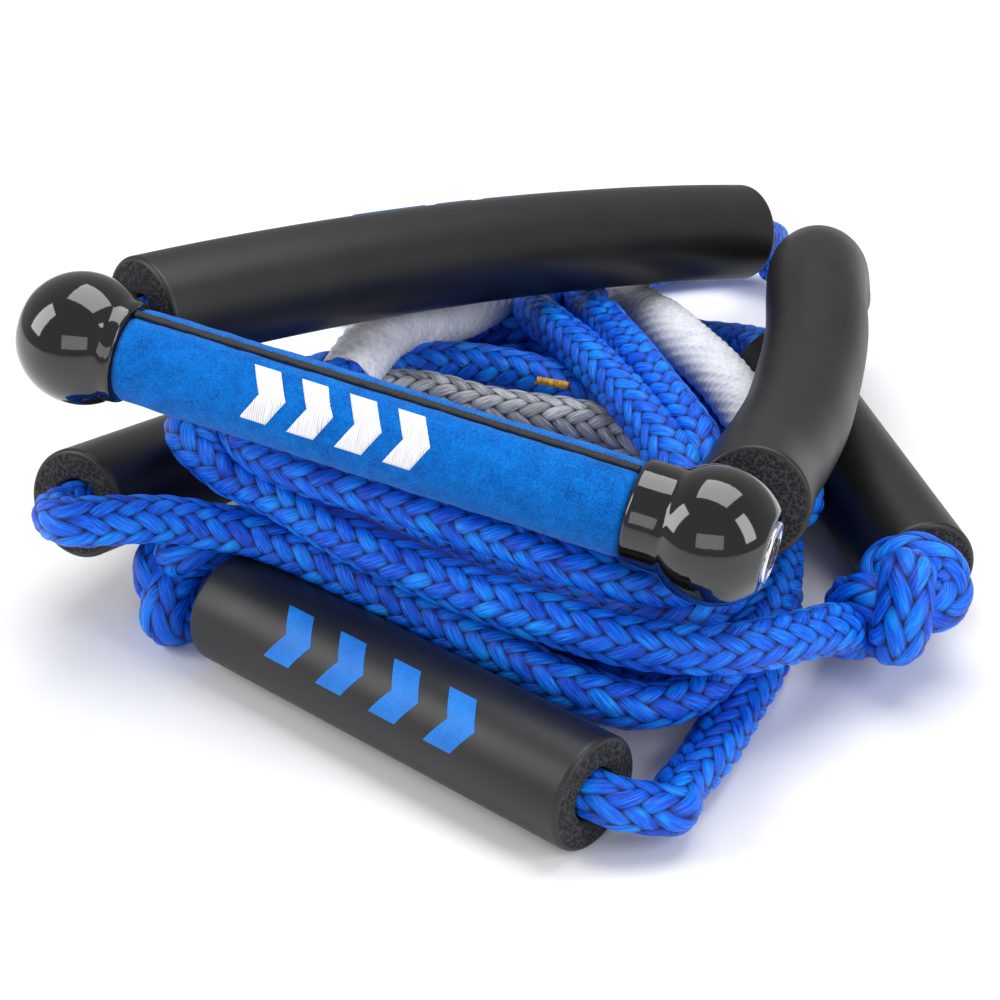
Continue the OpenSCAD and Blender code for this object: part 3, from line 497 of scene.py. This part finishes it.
# ------------------------------------------------------------------ foam floats
def lathe_tube(name, P, ro, ri, nv=96, step=2.0, rim=1.6, dents=0.0, seed=0.0, crease=None):
    """A foam tube along P (mm) with soft rims and a bore. Material 0 is its skin, 1 its cut ends and its bore."""
    Pd, _ = hermite(np.asarray(P, float), 24); C, s = even(Pd, step); t, u, v = frames(C); n = len(C); L = s[-1]
    phi = np.linspace(0, 2*math.pi, nv, endpoint=False); rings = []; kinds = []
    def ring(c, t0, u0, v0, r, off=0.0):
        return c+t0*off+np.asarray(r)[..., None]*(np.cos(phi)[:, None]*u0+np.sin(phi)[:, None]*v0)
    def wob(sv): return 1+dents*(0.55*np.sin(2*phi+seed+sv/61.0)+0.3*np.sin(3*phi+seed*2-sv/37.0))/19.0
    def out_r(sv):
        r = ro*wob(sv)
        if crease is not None:
            for cs, w, depth, ang, wide in crease:
                r = r-depth*math.exp(-((sv-cs)/w)**2)*np.clip(np.cos(phi-ang), 0, 1)**wide
        return r
    # bore in, cut face, rim, skin, rim, cut face, bore out
    for k in range(6, 0, -1): rings.append(ring(C[0], t[0], u[0], v[0], ri*np.ones(nv), k*4.0)); kinds.append(1)
    rings.append(ring(C[0], t[0], u[0], v[0], ri*np.ones(nv), 1.0)); kinds.append(1)
    rings.append(ring(C[0], t[0], u[0], v[0], (ri+0.7)*np.ones(nv), 0.15)); kinds.append(1)
    for f in np.linspace(0.15, 1, 12):
        rr = ri+0.7+(ro-rim-ri-0.7)*f; bump = 0.32*np.sin(phi*23+f*9)*np.sin(f*17+phi*5)+0.25*np.sin(phi*41-f*23)
        rings.append(ring(C[0], t[0], u[0], v[0], rr*wob(0)+0*bump, 0.0)); kinds.append(1)
        rings[-1] += (bump*0.5*min(1, 3*(1-f)+0.15))[:, None]*(-t[0])*0.6
    for a in (22, 45, 68, 90):
        a = math.radians(a); rings.append(ring(C[0], t[0], u[0], v[0], out_r(0)-rim+rim*math.sin(a), rim*(1-math.cos(a)))); kinds.append(0)
    for i in range(1, n-1):
        if s[i] > rim+0.3 and s[i] < L-rim-0.3: rings.append(ring(C[i], t[i], u[i], v[i], out_r(s[i]))); kinds.append(0)
    for a in (90, 68, 45, 22):
        a = math.radians(a); rings.append(ring(C[-1], t[-1], u[-1], v[-1], out_r(L)-rim+rim*math.sin(a), -rim*(1-math.cos(a)))); kinds.append(0)
    for f in np.linspace(1, 0.15, 12):
        rr = ri+0.7+(ro-rim-ri-0.7)*f; bump = 0.32*np.sin(phi*23+f*9+1)*np.sin(f*17+phi*5)+0.25*np.sin(phi*41-f*23)
        rings.append(ring(C[-1], t[-1], u[-1], v[-1], rr*wob(L), 0.0)); kinds.append(1)
        rings[-1] += (bump*0.5*min(1, 3*(1-f)+0.15))[:, None]*t[-1]*0.6
    rings.append(ring(C[-1], t[-1], u[-1], v[-1], (ri+0.7)*np.ones(nv), -0.15)); kinds.append(1)
    rings.append(ring(C[-1], t[-1], u[-1], v[-1], ri*np.ones(nv), -1.0)); kinds.append(1)
    for k in range(1, 7): rings.append(ring(C[-1], t[-1], u[-1], v[-1], ri*np.ones(nv), -k*4.0)); kinds.append(1)
    W = np.array(rings); m = len(W)
    a = np.arange(m-1)[:, None]*nv+np.arange(nv)[None, :]; b = np.arange(m-1)[:, None]*nv+(np.arange(nv)+1)[None, :] % nv
    faces = np.stack([a, b, b+nv, a+nv], 2).reshape(-1, 4).tolist(); mat = np.repeat([1 if (kinds[i] == 1 and kinds[i+1] == 1) else 0 for i in range(m-1)], nv)
    # the bore's own wall joins the two ends inside
    ib = np.arange(nv); jb = (ib+1) % nv; o = (m-1)*nv
    faces += np.stack([o+ib, o+jb, jb, ib], 1).tolist(); mat = np.r_[mat, np.ones(nv, int)]
    ob = new_mesh(name, M(W.reshape(-1, 3)), faces); paint(ob, "foam", "foam_cut"); ob.data.polygons.foreach_set("material_index", mat.astype(int).tolist()); ob.data.update()
    bm = bmesh.new(); bm.from_mesh(ob.data); bmesh.ops.recalc_face_normals(bm, faces=bm.faces); bm.to_mesh(ob.data); bm.free()
    return ob, C, (t, u, v, s)

def straight(base, d, L, n=6): return [base+d*(L*k/(n-1)) for k in range(n)]
for name, B, d, L, node, body, sd in (("foam_float_front", FF, FD, FL, "float_front", "float_front_body", 0.4), ("foam_float_left", LF, LD, LL, "float_left", "float_left_body", 2.1), ("foam_float_right", RF, RD, RL, "float_right", "float_right_body", 4.0)):
    ob, C, fr = lathe_tube(name, straight(B, d, L), 18.9, 8.6, dents=0.10, seed=sd); dress(ob, body, "black_foam", node)

# the two floats on the bridle
fa, fb = V(-101, 31, 108), V(38, 279, 52)
_c = np.linalg.norm(fb-fa)/2; _R = (_c*_c+36)/12; _t = unit(fb-fa); _n = unit(np.cross(_t, (-0.35, 0.2, 0.92))); _w = np.cross(_n, _t); _o = (fa+fb)/2+_w*(6-_R); _x = unit(fa-_o); _y = np.cross(_n, _x)
_s = 1 if np.dot(_y, fb-_o) > 0 else -1; _g = 2*math.asin(_c/_R)
ARC = [_o+_R*(math.cos(_s*_g*k/12)*_x+math.sin(_s*_g*k/12)*_y) for k in range(13)]
BFLm = lathe_tube("foam_float_bridle_left", ARC, 18.9, 6.4, dents=0.25, seed=1.0); dress(BFLm[0], "bridle", "black_foam", "bridle_float_left")
FRP = [V(*p) for p in ((107,36,75),(103,64,68),(102,95,63),(101,120,60.5),(98,146,59.5),(92,184,61),(85,211,62.5),(80.5,231,60.5),(78,247,54),(76.5,259,44),(76,266,34.5))]
BFRm = lathe_tube("foam_float_bridle_right", FRP, 18.9, 6.4, dents=0.35, seed=3.0, step=1.6, crease=None); dress(BFRm[0], "bridle", "black_foam", "bridle_float_right")

# ------------------------------------------------------------------ bridle lines and their knot
def on_bar(p):
    a = math.radians(7.86); p = V(*p); return V(0, 0, 98.5)+V(p[0]*math.cos(a)+p[2]*math.sin(a), p[1], -p[0]*math.sin(a)+p[2]*math.cos(a))
ea = math.radians(10)
def line_piece(name, pts, node):
    ob, line, L = braid(name, pts, 5.0, nv=40, step=0.9, carriers=8, pitch=4.6, high=0.55); paint(ob, "blue"); dress(ob, "bridle", "blue_rope", node)
    return ob
exl, exr = on_bar((-106, 20.5*math.cos(ea), -20.5*math.sin(ea))), on_bar((106, 20.5*math.cos(ea), -20.5*math.sin(ea)))
line_piece("bridle_cord_left", [exl, (exl+fa)/2]+ARC+[V(44,293,47), V(45,311,37), V(37,328,23), V(32,335,17)], "bridle_line_left")
line_piece("bridle_cord_right", [exr]+FRP+[V(76,284,28), V(66,312,17), V(45,331,15), V(38,335,15)], "bridle_line_right")
kb, _, _ = braid("bridle_knot_wrap", [V(*p) for p in overhand((30, 338, 13.8), (0.8, 0.6, 0.05), (0, 0.2, 1), 3.1, n=34, t0=1.05, t1=2.95)], 5.2, nv=48, step=0.8, carriers=10, pitch=5.2, high=0.6, ends=(4, 4))
paint(kb, "blue"); dress(kb, "bridle", "blue_rope", "bridle_knot")

# ------------------------------------------------------------------ caps of the handle: one moulded elbow each
def bar_frame():
    a = math.radians(7.86); return np.array([[math.cos(a), 0, math.sin(a)], [0, 1, 0], [-math.sin(a), 0, math.cos(a)]])
BF = bar_frame(); HC = V(0, 0, 98.5)
def to_world(P): return HC+np.asarray(P, float)@BF.T
def lathe(name, prof, nv=96, axis="x", centre=(0, 0, 0), sgn=1.0):
    """prof is (distance along the axis, radius) from the outer end inwards; a radius of 0 closes it."""
    phi = np.linspace(0, 2*math.pi, nv, endpoint=False); W = []
    for d, r in prof:
        W.append(np.stack([np.full(nv, sgn*d), r*np.cos(phi), r*np.sin(phi)], 1))
    W = np.array(W).reshape(-1, 3)+V(*centre); m = len(prof)
    a = np.arange(m-1)[:, None]*nv+np.arange(nv)[None, :]; b = np.arange(m-1)[:, None]*nv+(np.arange(nv)+1)[None, :] % nv
    faces = np.stack([a, b, b+nv, a+nv], 2).reshape(-1, 4).tolist(); faces.append(list(range(nv))[::-1]); faces.append([(m-1)*nv+k for k in range(nv)])
    return W, faces
def voxel_solid(name, parts, voxel, iters, keep=None):
    """Unions the parts (vertices in the bar's frame, faces), remeshes and smooths them into one moulded form."""
    vs, fs, o = [], [], 0
    for W, F in parts: vs.append(W); fs += [[i+o for i in f] for f in F]; o += len(W)
    ob = new_mesh(name, M(to_world(np.vstack(vs))), fs)
    bm = bmesh.new(); bm.from_mesh(ob.data); bmesh.ops.recalc_face_normals(bm, faces=bm.faces); bm.to_mesh(ob.data); bm.free()
    r = ob.modifiers.new("r", "REMESH"); r.mode = "VOXEL"; r.voxel_size = voxel/1000; r.use_smooth_shade = True
    sm = ob.modifiers.new("s", "CORRECTIVE_SMOOTH" if False else "SMOOTH"); sm.factor = 0.5; sm.iterations = iters
    bpy.context.view_layer.update(); dg = bpy.context.evaluated_depsgraph_get(); me = bpy.data.meshes.new_from_object(ob.evaluated_get(dg)); ob.modifiers.clear(); old = ob.data; ob.data = me; me.name = name; bpy.data.meshes.remove(old)
    me.polygons.foreach_set("use_smooth", [True]*len(me.polygons)); me.update(); return ob
def ball_profile(end):
    pr = []
    for a in np.linspace(0, 1, 5): pr.append((17.55-0.0*a, 0.01+11.7*a))
    for k in range(1, 40):
        th = math.asin(12.5/21.5)+(math.radians(129)-math.asin(12.5/21.5))*k/39; pr.append((21.5*math.cos(th), 21.5*math.sin(th)))
    return pr
for side, name, L, node in ((-1, "cap_shell_left", 212/2-88.4, "cap_left"), (1, "cap_shell_right", 212/2-80.4, "cap_right")):
    sx = float(side); pr = [(17.6, 0.02), (17.6, 11.0), (17.45, 12.1)]
    th0 = math.asin(12.6/21.5)
    for k in range(0, 44):
        th = th0+(math.radians(127.5)-th0)*k/43; pr.append((21.5*math.cos(th), 21.5*math.sin(th)))
    pr += [(-14.2, 16.9), (-15.6, 16.75), (-L+1.3, 16.75), (-L+0.4, 16.35), (-L, 15.5), (-L, 11.4)]
    body = lathe(name, pr, centre=(sx*106, 0, 0), sgn=sx)
    # the boss that the bridle line leaves by
    phi = np.linspace(0, 2*math.pi, 72, endpoint=False); dirv = V(0, math.cos(ea), -math.sin(ea)); e1 = V(1, 0, 0); e2 = np.cross(dirv, e1)
    bp = [(6, 0.05), (6, 12.6), (15, 12.6), (19, 12.2), (21.5, 11.9), (22.8, 11.3), (23.5, 10.2), (23.6, 9.2), (23.2, 8.4), (21.5, 7.6), (17, 6.6), (14, 6.2), (14, 0.05)]
    W = np.array([V(sx*106, 0, 0)+dirv*d+r*(np.cos(x)*e1+np.sin(x)*e2) for d, r in bp for x in phi]); m = len(bp); nv = 72
    a = np.arange(m-1)[:, None]*nv+np.arange(nv)[None, :]; b = np.arange(m-1)[:, None]*nv+(np.arange(nv)+1)[None, :] % nv
    F = np.stack([a, b, b+nv, a+nv], 2).reshape(-1, 4).tolist(); F.append(list(range(nv))[::-1]); F.append([(m-1)*nv+k for k in range(nv)])
    ob = voxel_solid(name, [body, (W, F)], 0.62, 9); paint(ob, "gloss"); dress(ob, "handle", "gloss_black", node)

# ------------------------------------------------------------------ grip: suede sleeve, piping, stitched chevrons
GX0, GX1, GR = -88.4, 80.4, 15.2
nx, nv = 260, 128; xs = np.linspace(GX0, GX1, nx); phi = np.linspace(0, 2*math.pi, nv, endpoint=False)
rg = np.random.default_rng(7)
def soft_noise(shape, k):
    a = rg.standard_normal(shape); f = np.fft.fft2(a); fy = np.fft.fftfreq(shape[0])[:, None]; fx = np.fft.fftfreq(shape[1])[None, :]
    a = np.real(np.fft.ifft2(f*np.exp(-(fx**2+fy**2)*k))); return a/a.std()
rr = GR+0.10*soft_noise((nx, nv), 260)+0.10*soft_noise((nx, nv), 2600)
# pulled in along the seam at the top, with small puckers
top = math.pi/2; dphi = np.angle(np.exp(1j*(phi-top)))[None, :]
rr = rr-1.5*np.exp(-(dphi*GR/2.3)**2)-0.35*np.exp(-((np.abs(dphi)*GR-4.2)/2.0)**2)*(0.6+0.4*np.sin(xs/1.7))[:, None]
edge = np.minimum(xs-GX0, GX1-xs)[:, None]; rr = rr-0.9*np.exp(-(edge/0.9)**2)
W = np.stack([np.repeat(xs[:, None], nv, 1), rr*np.cos(phi), rr*np.sin(phi)], 2)
inn = np.stack([np.repeat(xs[[0, -1]][:, None], nv, 1), 12.75*np.cos(phi)[None]*np.ones((2, 1)), 12.75*np.sin(phi)[None]*np.ones((2, 1))], 2)
W = np.concatenate([inn[:1], W, inn[1:]], 0); m = len(W)
a = np.arange(m-1)[:, None]*nv+np.arange(nv)[None, :]; b = np.arange(m-1)[:, None]*nv+(np.arange(nv)+1)[None, :] % nv
faces = np.stack([a, b, b+nv, a+nv], 2).reshape(-1, 4).tolist(); o = (m-1)*nv; ib = np.arange(nv); faces += np.stack([o+ib, o+(ib+1) % nv, (ib+1) % nv, ib], 1).tolist()
ob = new_mesh("grip_suede_sleeve", M(to_world(W.reshape(-1, 3))), faces)
bm = bmesh.new(); bm.from_mesh(ob.data); bmesh.ops.recalc_face_normals(bm, faces=bm.faces); bm.to_mesh(ob.data); bm.free()
paint(ob, "suede"); dress(ob, "handle", "grip_suede", "grip_sleeve")

# the piping in the seam: two flat folds side by side
sx = np.linspace(GX0+0.5, GX1-0.5, 420); vs = []; ring = 20
for x in sx:
    w = 1.15+0.10*math.sin(x/1.3); 
    for k in range(ring):
        q = 2*math.pi*k/ring; y = w*1.25*math.cos(q); z = 0.85*math.sin(q)+(0.10*math.sin(x*3.9) if math.sin(q) > 0 else 0)-0.35*math.exp(-(y/0.35)**2)*(math.sin(q) > 0.2)
        vs.append((x, y, GR-0.35+z))
m = len(sx); a = np.arange(m-1)[:, None]*ring+np.arange(ring)[None, :]; b = np.arange(m-1)[:, None]*ring+(np.arange(ring)+1)[None, :] % ring
faces = np.stack([a, b, b+ring, a+ring], 2).reshape(-1, 4).tolist()+[list(range(ring))[::-1], [(m-1)*ring+k for k in range(ring)]]
ob = new_mesh("grip_piping", M(to_world(np.array(vs))), faces); bm = bmesh.new(); bm.from_mesh(ob.data); bmesh.ops.recalc_face_normals(bm, faces=bm.faces); bm.to_mesh(ob.data); bm.free()
paint(ob, "seam"); dress(ob, "handle", "seam_tape", "grip_seam")

def wrap_poly(name, poly, R, place, thick, mat, cells=0.7, dome=0.0, uvdir=(1, 0)):
    """A flat outline (mm, along the tube and round it) wrapped on a tube as a thin closed patch."""
    from mathutils.geometry import tessellate_polygon
    P = np.array(poly, float); lo, hi = P.min(0), P.max(0); nxg, nyg = max(2, int((hi[0]-lo[0])/cells)+1), max(2, int((hi[1]-lo[1])/cells)+1)
    bm = bmesh.new(); ring = [bm.verts.new((x, y, 0)) for x, y in P]; bm.faces.new(ring)
    for k in range(1, nxg): bmesh.ops.bisect_plane(bm, geom=bm.verts[:]+bm.edges[:]+bm.faces[:], plane_co=(lo[0]+(hi[0]-lo[0])*k/nxg, 0, 0), plane_no=(1, 0, 0))
    for k in range(1, nyg): bmesh.ops.bisect_plane(bm, geom=bm.verts[:]+bm.edges[:]+bm.faces[:], plane_co=(0, lo[1]+(hi[1]-lo[1])*k/nyg, 0), plane_no=(0, 1, 0))
    bmesh.ops.triangulate(bm, faces=[f for f in bm.faces if len(f.verts) > 4])
    lay = bm.loops.layers.uv.new("UVMap"); ux, uy = uvdir
    for f in bm.faces:
        for l in f.loops: x, y = l.vert.co.x, l.vert.co.y; l[lay].uv = ((x*ux+y*uy)/10.0, (-x*uy+y*ux)/10.0)
    border = {v for e in bm.edges if e.is_boundary for v in e.verts}
    res = bmesh.ops.extrude_face_region(bm, geom=bm.faces[:]); up = [g for g in res["geom"] if isinstance(g, bmesh.types.BMVert)]; upset = set(up)
    bm.verts.ensure_lookup_table()
    upb = {v for v in upset if any(not (e.other_vert(v) in upset) for e in v.link_edges)}
    E = P; 
    def dist_edge(x, y):
        d = 1e9
        for k in range(len(E)):
            p, q = E[k], E[(k+1) % len(E)]; pq = q-p; tt = max(0, min(1, ((x-p[0])*pq[0]+(y-p[1])*pq[1])/max(1e-9, pq@pq))); d = min(d, math.hypot(x-p[0]-tt*pq[0], y-p[1]-tt*pq[1]))
        return d
    for v in bm.verts:
        x, y = v.co.x, v.co.y; h = 0.0
        if v in upset:
            h = thick
            if dome: h = thick*0.25+dome*min(1, dist_edge(x, y)/1.1)**0.55
        v.co = Vector(place(x, y, R+h))
    bmesh.ops.recalc_face_normals(bm, faces=bm.faces)
    me = bpy.data.meshes.new(name); bm.to_mesh(me); bm.free(); me.polygons.foreach_set("use_smooth", [dome > 0]*len(me.polygons)); me.update()
    o = bpy.data.objects.new(name, me); scene.collection.objects.link(o); paint(o, mat); return o

def grip_place(x, y, r):
    a0 = math.radians(148); a = a0+y/15.2; p = to_world(V(x, r*math.cos(a), r*math.sin(a))); return tuple(M(p))
chev = []
for i in range(4):
    s = 16*i; pl = [[-44+s, 9], [-35+s, 9], [-30+s, 0], [-35+s, -9], [-44+s, -9], [-39+s, 0]]
    chev.append(wrap_poly("grip_chevron_%d" % (i+1), pl, 15.16, grip_place, 0.5, "thread", cells=0.6, dome=0.75, uvdir=(1, 0)))
for c in chev: dress(c, "handle", "emblem_thread")
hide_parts("grip_emblem")

# ------------------------------------------------------------------ printed bars on the floats
def float_place(B, D, up0):
    side = np.cross(D, up0)
    def place(x, y, r):
        a = y/19.0; return tuple(M(B+D*x+r*(math.cos(a)*up0+math.sin(a)*side)))
    return place
# on the front float: four leaning bars with a cut corner, facing the front and up
d0 = FD; back = unit(np.cross(d0, (0, 0, 1))); back = back if back[1] < 0 else -back
upf = unit(back*math.cos(math.radians(44))+V(0, 0, 1)*math.sin(math.radians(44))); fp = float_place(FF, FD, upf)
sgn = 1 if np.dot(np.cross(FD, upf), (0, 0, 1)) > 0 else -1
for i in range(4):
    x0 = 122-23*i; pl = [[x0, -9.5*sgn], [x0-11, -9.5*sgn], [x0-17, 0], [x0-11, 9.5*sgn], [x0, 9.5*sgn], [x0-6, 0]]
    o = wrap_poly("float_print_%d" % (i+1), pl, 18.84, fp, 0.16, "ink", cells=1.1); dress(o, "float_front_body", "black_foam")

def stripe(name, Cl, fr, a_lo, a_hi, s0, s1, width, body, ref):
    """A narrow printed line along a bent float; ref points to the side that it is on."""
    C, (t, u, v, s) = Cl, fr; i0, i1 = int(np.searchsorted(s, s0)), int(np.searchsorted(s, s1)); vs = []; k = 7
    for i in range(i0, i1+1):
        n0 = V(*ref); n0 = unit(n0-t[i]*np.dot(n0, t[i])); w = np.cross(t[i], n0)
        for j in range(k):
            a = math.radians(a_lo)+(j/(k-1)-0.5)*width/19; vs.append(C[i]+19.0*1.004*(math.cos(a)*n0+math.sin(a)*w))
        for j in range(k-1, -1, -1):
            a = math.radians(a_lo)+(j/(k-1)-0.5)*width/19; vs.append(C[i]+18.3*(math.cos(a)*n0+math.sin(a)*w))
    m = i1-i0+1; q = 2*k; a = np.arange(m-1)[:, None]*q+np.arange(q)[None, :]; b = np.arange(m-1)[:, None]*q+(np.arange(q)+1)[None, :] % q
    F = np.stack([a, b, b+q, a+q], 2).reshape(-1, 4).tolist()+[list(range(q))[::-1], [(m-1)*q+j for j in range(q)]]
    o = new_mesh(name, M(np.array(vs)), F, smooth=False); bm = bmesh.new(); bm.from_mesh(o.data); bmesh.ops.recalc_face_normals(bm, faces=bm.faces); bm.to_mesh(o.data); bm.free()
    paint(o, "ink"); dress(o, body, "black_foam"); return o
vd = V(-0.2966, 0.805, -0.5135)
def past_edge(t, deg):
    """The direction a little past the top edge that faces the front, as seen along vd."""
    n = unit(np.cross(t, vd)); n = n if n[2] > 0 else -n; w = unit(vd-t*np.dot(vd, t)); a = math.radians(deg); return n*math.cos(a)+w*math.sin(a)
tl = unit(fb-fa)
for k, (s0, s1) in enumerate(((96, 128), (134, 150), (156, 202), (208, 236))):
    stripe("bridle_float_print_%d" % (k+1), BFLm[1], BFLm[2], 0, 0, s0, s1, 6.0, "bridle", tuple(past_edge(tl, 5)))
Cr, (tr_, ur_, vr_, sr_) = even(np.array(straight(RF, RD, RL)), 2.0)[0], (None,)*4
sr_ = even(np.array(straight(RF, RD, RL)), 2.0)[1]; tr_ = np.repeat(RD[None], len(Cr), 0)
for k, (s0, s1) in enumerate(((24, 58), (64, 78), (84, 128))):
    stripe("right_float_print_%d" % (k+1), Cr, (tr_, None, None, sr_), 0, 0, s0, s1, 6.0, "float_right_body", tuple(past_edge(RD, 5)))

# ------------------------------------------------------------------ whipping, badges, plugs, stop knots
def coil_thread(name, C, t, r, turns, w, thread, nodes, body):
    e1 = unit(np.cross(t, (0, 0, 1))); e2 = np.cross(t, e1); n = turns*20; P = []
    for k in range(n+1):
        a = 2*math.pi*k/20; P.append(np.array(C)+t*(-w/2+w*k/n)+r*(math.cos(a)*e1+math.sin(a)*e2))
    o, l, L = braid(name, P, thread, nv=10, step=0.5, carriers=3, pitch=1.4, high=0.12, ends=(1.0, 1.0)); paint(o, "whip"); dress(o, body, "whipping_thread", *nodes); return o
coil_thread("whipping_thread", V(11, 123, 56.4), V(1, 0, 0), 1.05, 13, 12, 0.46, ("whipping_band",), "rope")

for n_, key in (("bar_tube", "alloy"), ("bar_foam_core", "core"), ("end_plug_left", "gloss"), ("end_plug_right", "gloss"), ("stop_knot_left", "blue"), ("stop_knot_right", "blue"), ("badge_left", "silver"), ("badge_right", "silver")):
    o = NODES[n_]; o.data.materials.clear() if False else None
    for sl in o.material_slots: sl.material = MAT[key]
    if not o.material_slots: o.data.materials.append(MAT[key])

# the badge: a domed rim, a dished face and a plain closed ring
for side, nm in ((-1, "left"), (1, "right")):
    pr = [(17.2, 0.02), (17.2, 9.6), (18.05, 9.7), (18.5, 9.3), (18.62, 8.8), (18.5, 8.3), (18.2, 8.0), (18.05, 7.6), (18.15, 5.0), (18.25, 2.0), (18.28, 0.02)]
    W, F = lathe("x", pr, nv=96, centre=(side*106, 0, 0), sgn=float(side)); o = new_mesh("badge_face_"+nm, M(to_world(W)), F)
    bm = bmesh.new(); bm.from_mesh(o.data); bmesh.ops.recalc_face_normals(bm, faces=bm.faces); bm.to_mesh(o.data); bm.free(); paint(o, "silver"); dress(o, "handle", "badge_silver", "badge_"+nm)
    P = [V(side*(106+18.35), 4.4*math.cos(a), 4.4*math.sin(a)) for a in np.linspace(0, 2*math.pi, 49)]
    o, _, _ = braid("badge_ring_"+nm, to_world(np.array(P)), 0.75, nv=16, step=0.5, high=0.0); paint(o, "gloss"); dress(o, "handle", "gloss_black")

# ------------------------------------------------------------------ floor, light, world
bpy.ops.mesh.primitive_plane_add(size=30, location=(0, 0, 0)); floor = bpy.context.object; floor.name = "floor"
k = Mat("floor_paper"); f = k.noise(k.coords(), 3.0, 2); col = k.ramp(f, [(0.3, (0.86, 0.86, 0.87)), (0.7, (0.90, 0.90, 0.90))]); k.set(Base_Color=col, Roughness=0.75)
floor.data.materials.append(k.m)
def area(name, loc, at, size, power, col=(1, 1, 1), size_y=None):
    d = bpy.data.lights.new(name, "AREA"); d.energy = power; d.color = col; d.size = size; d.shape = "RECTANGLE"; d.size_y = size_y or size
    o = bpy.data.objects.new(name, d); scene.collection.objects.link(o); o.location = loc; o.rotation_euler = (Vector(at)-Vector(loc)).to_track_quat("-Z", "Y").to_euler(); return o
area("softbox_top", (0.05, 0.25, 1.25), (0, 0, 0.05), 1.1, 13, (1, 1, 1), 0.9)
area("softbox_left", (-1.05, -0.55, 0.75), (0, 0, 0.05), 0.55, 8.5, (1, 1, 1), 0.9)
area("softbox_right", (1.15, -0.35, 0.70), (0, 0, 0.05), 0.45, 7, (1, 1, 1), 0.9)
area("fill_front", (0.25, -1.5, 0.6), (0, 0, 0.05), 1.2, 4, (1, 1, 1), 0.6)
w = bpy.data.worlds.new("studio"); scene.world = w; w.use_nodes = True; bg = w.node_tree.nodes["Background"]; bg.inputs[0].default_value = (1, 1, 1, 1); bg.inputs[1].default_value = 0.42
scene.view_settings.view_transform = "Standard"
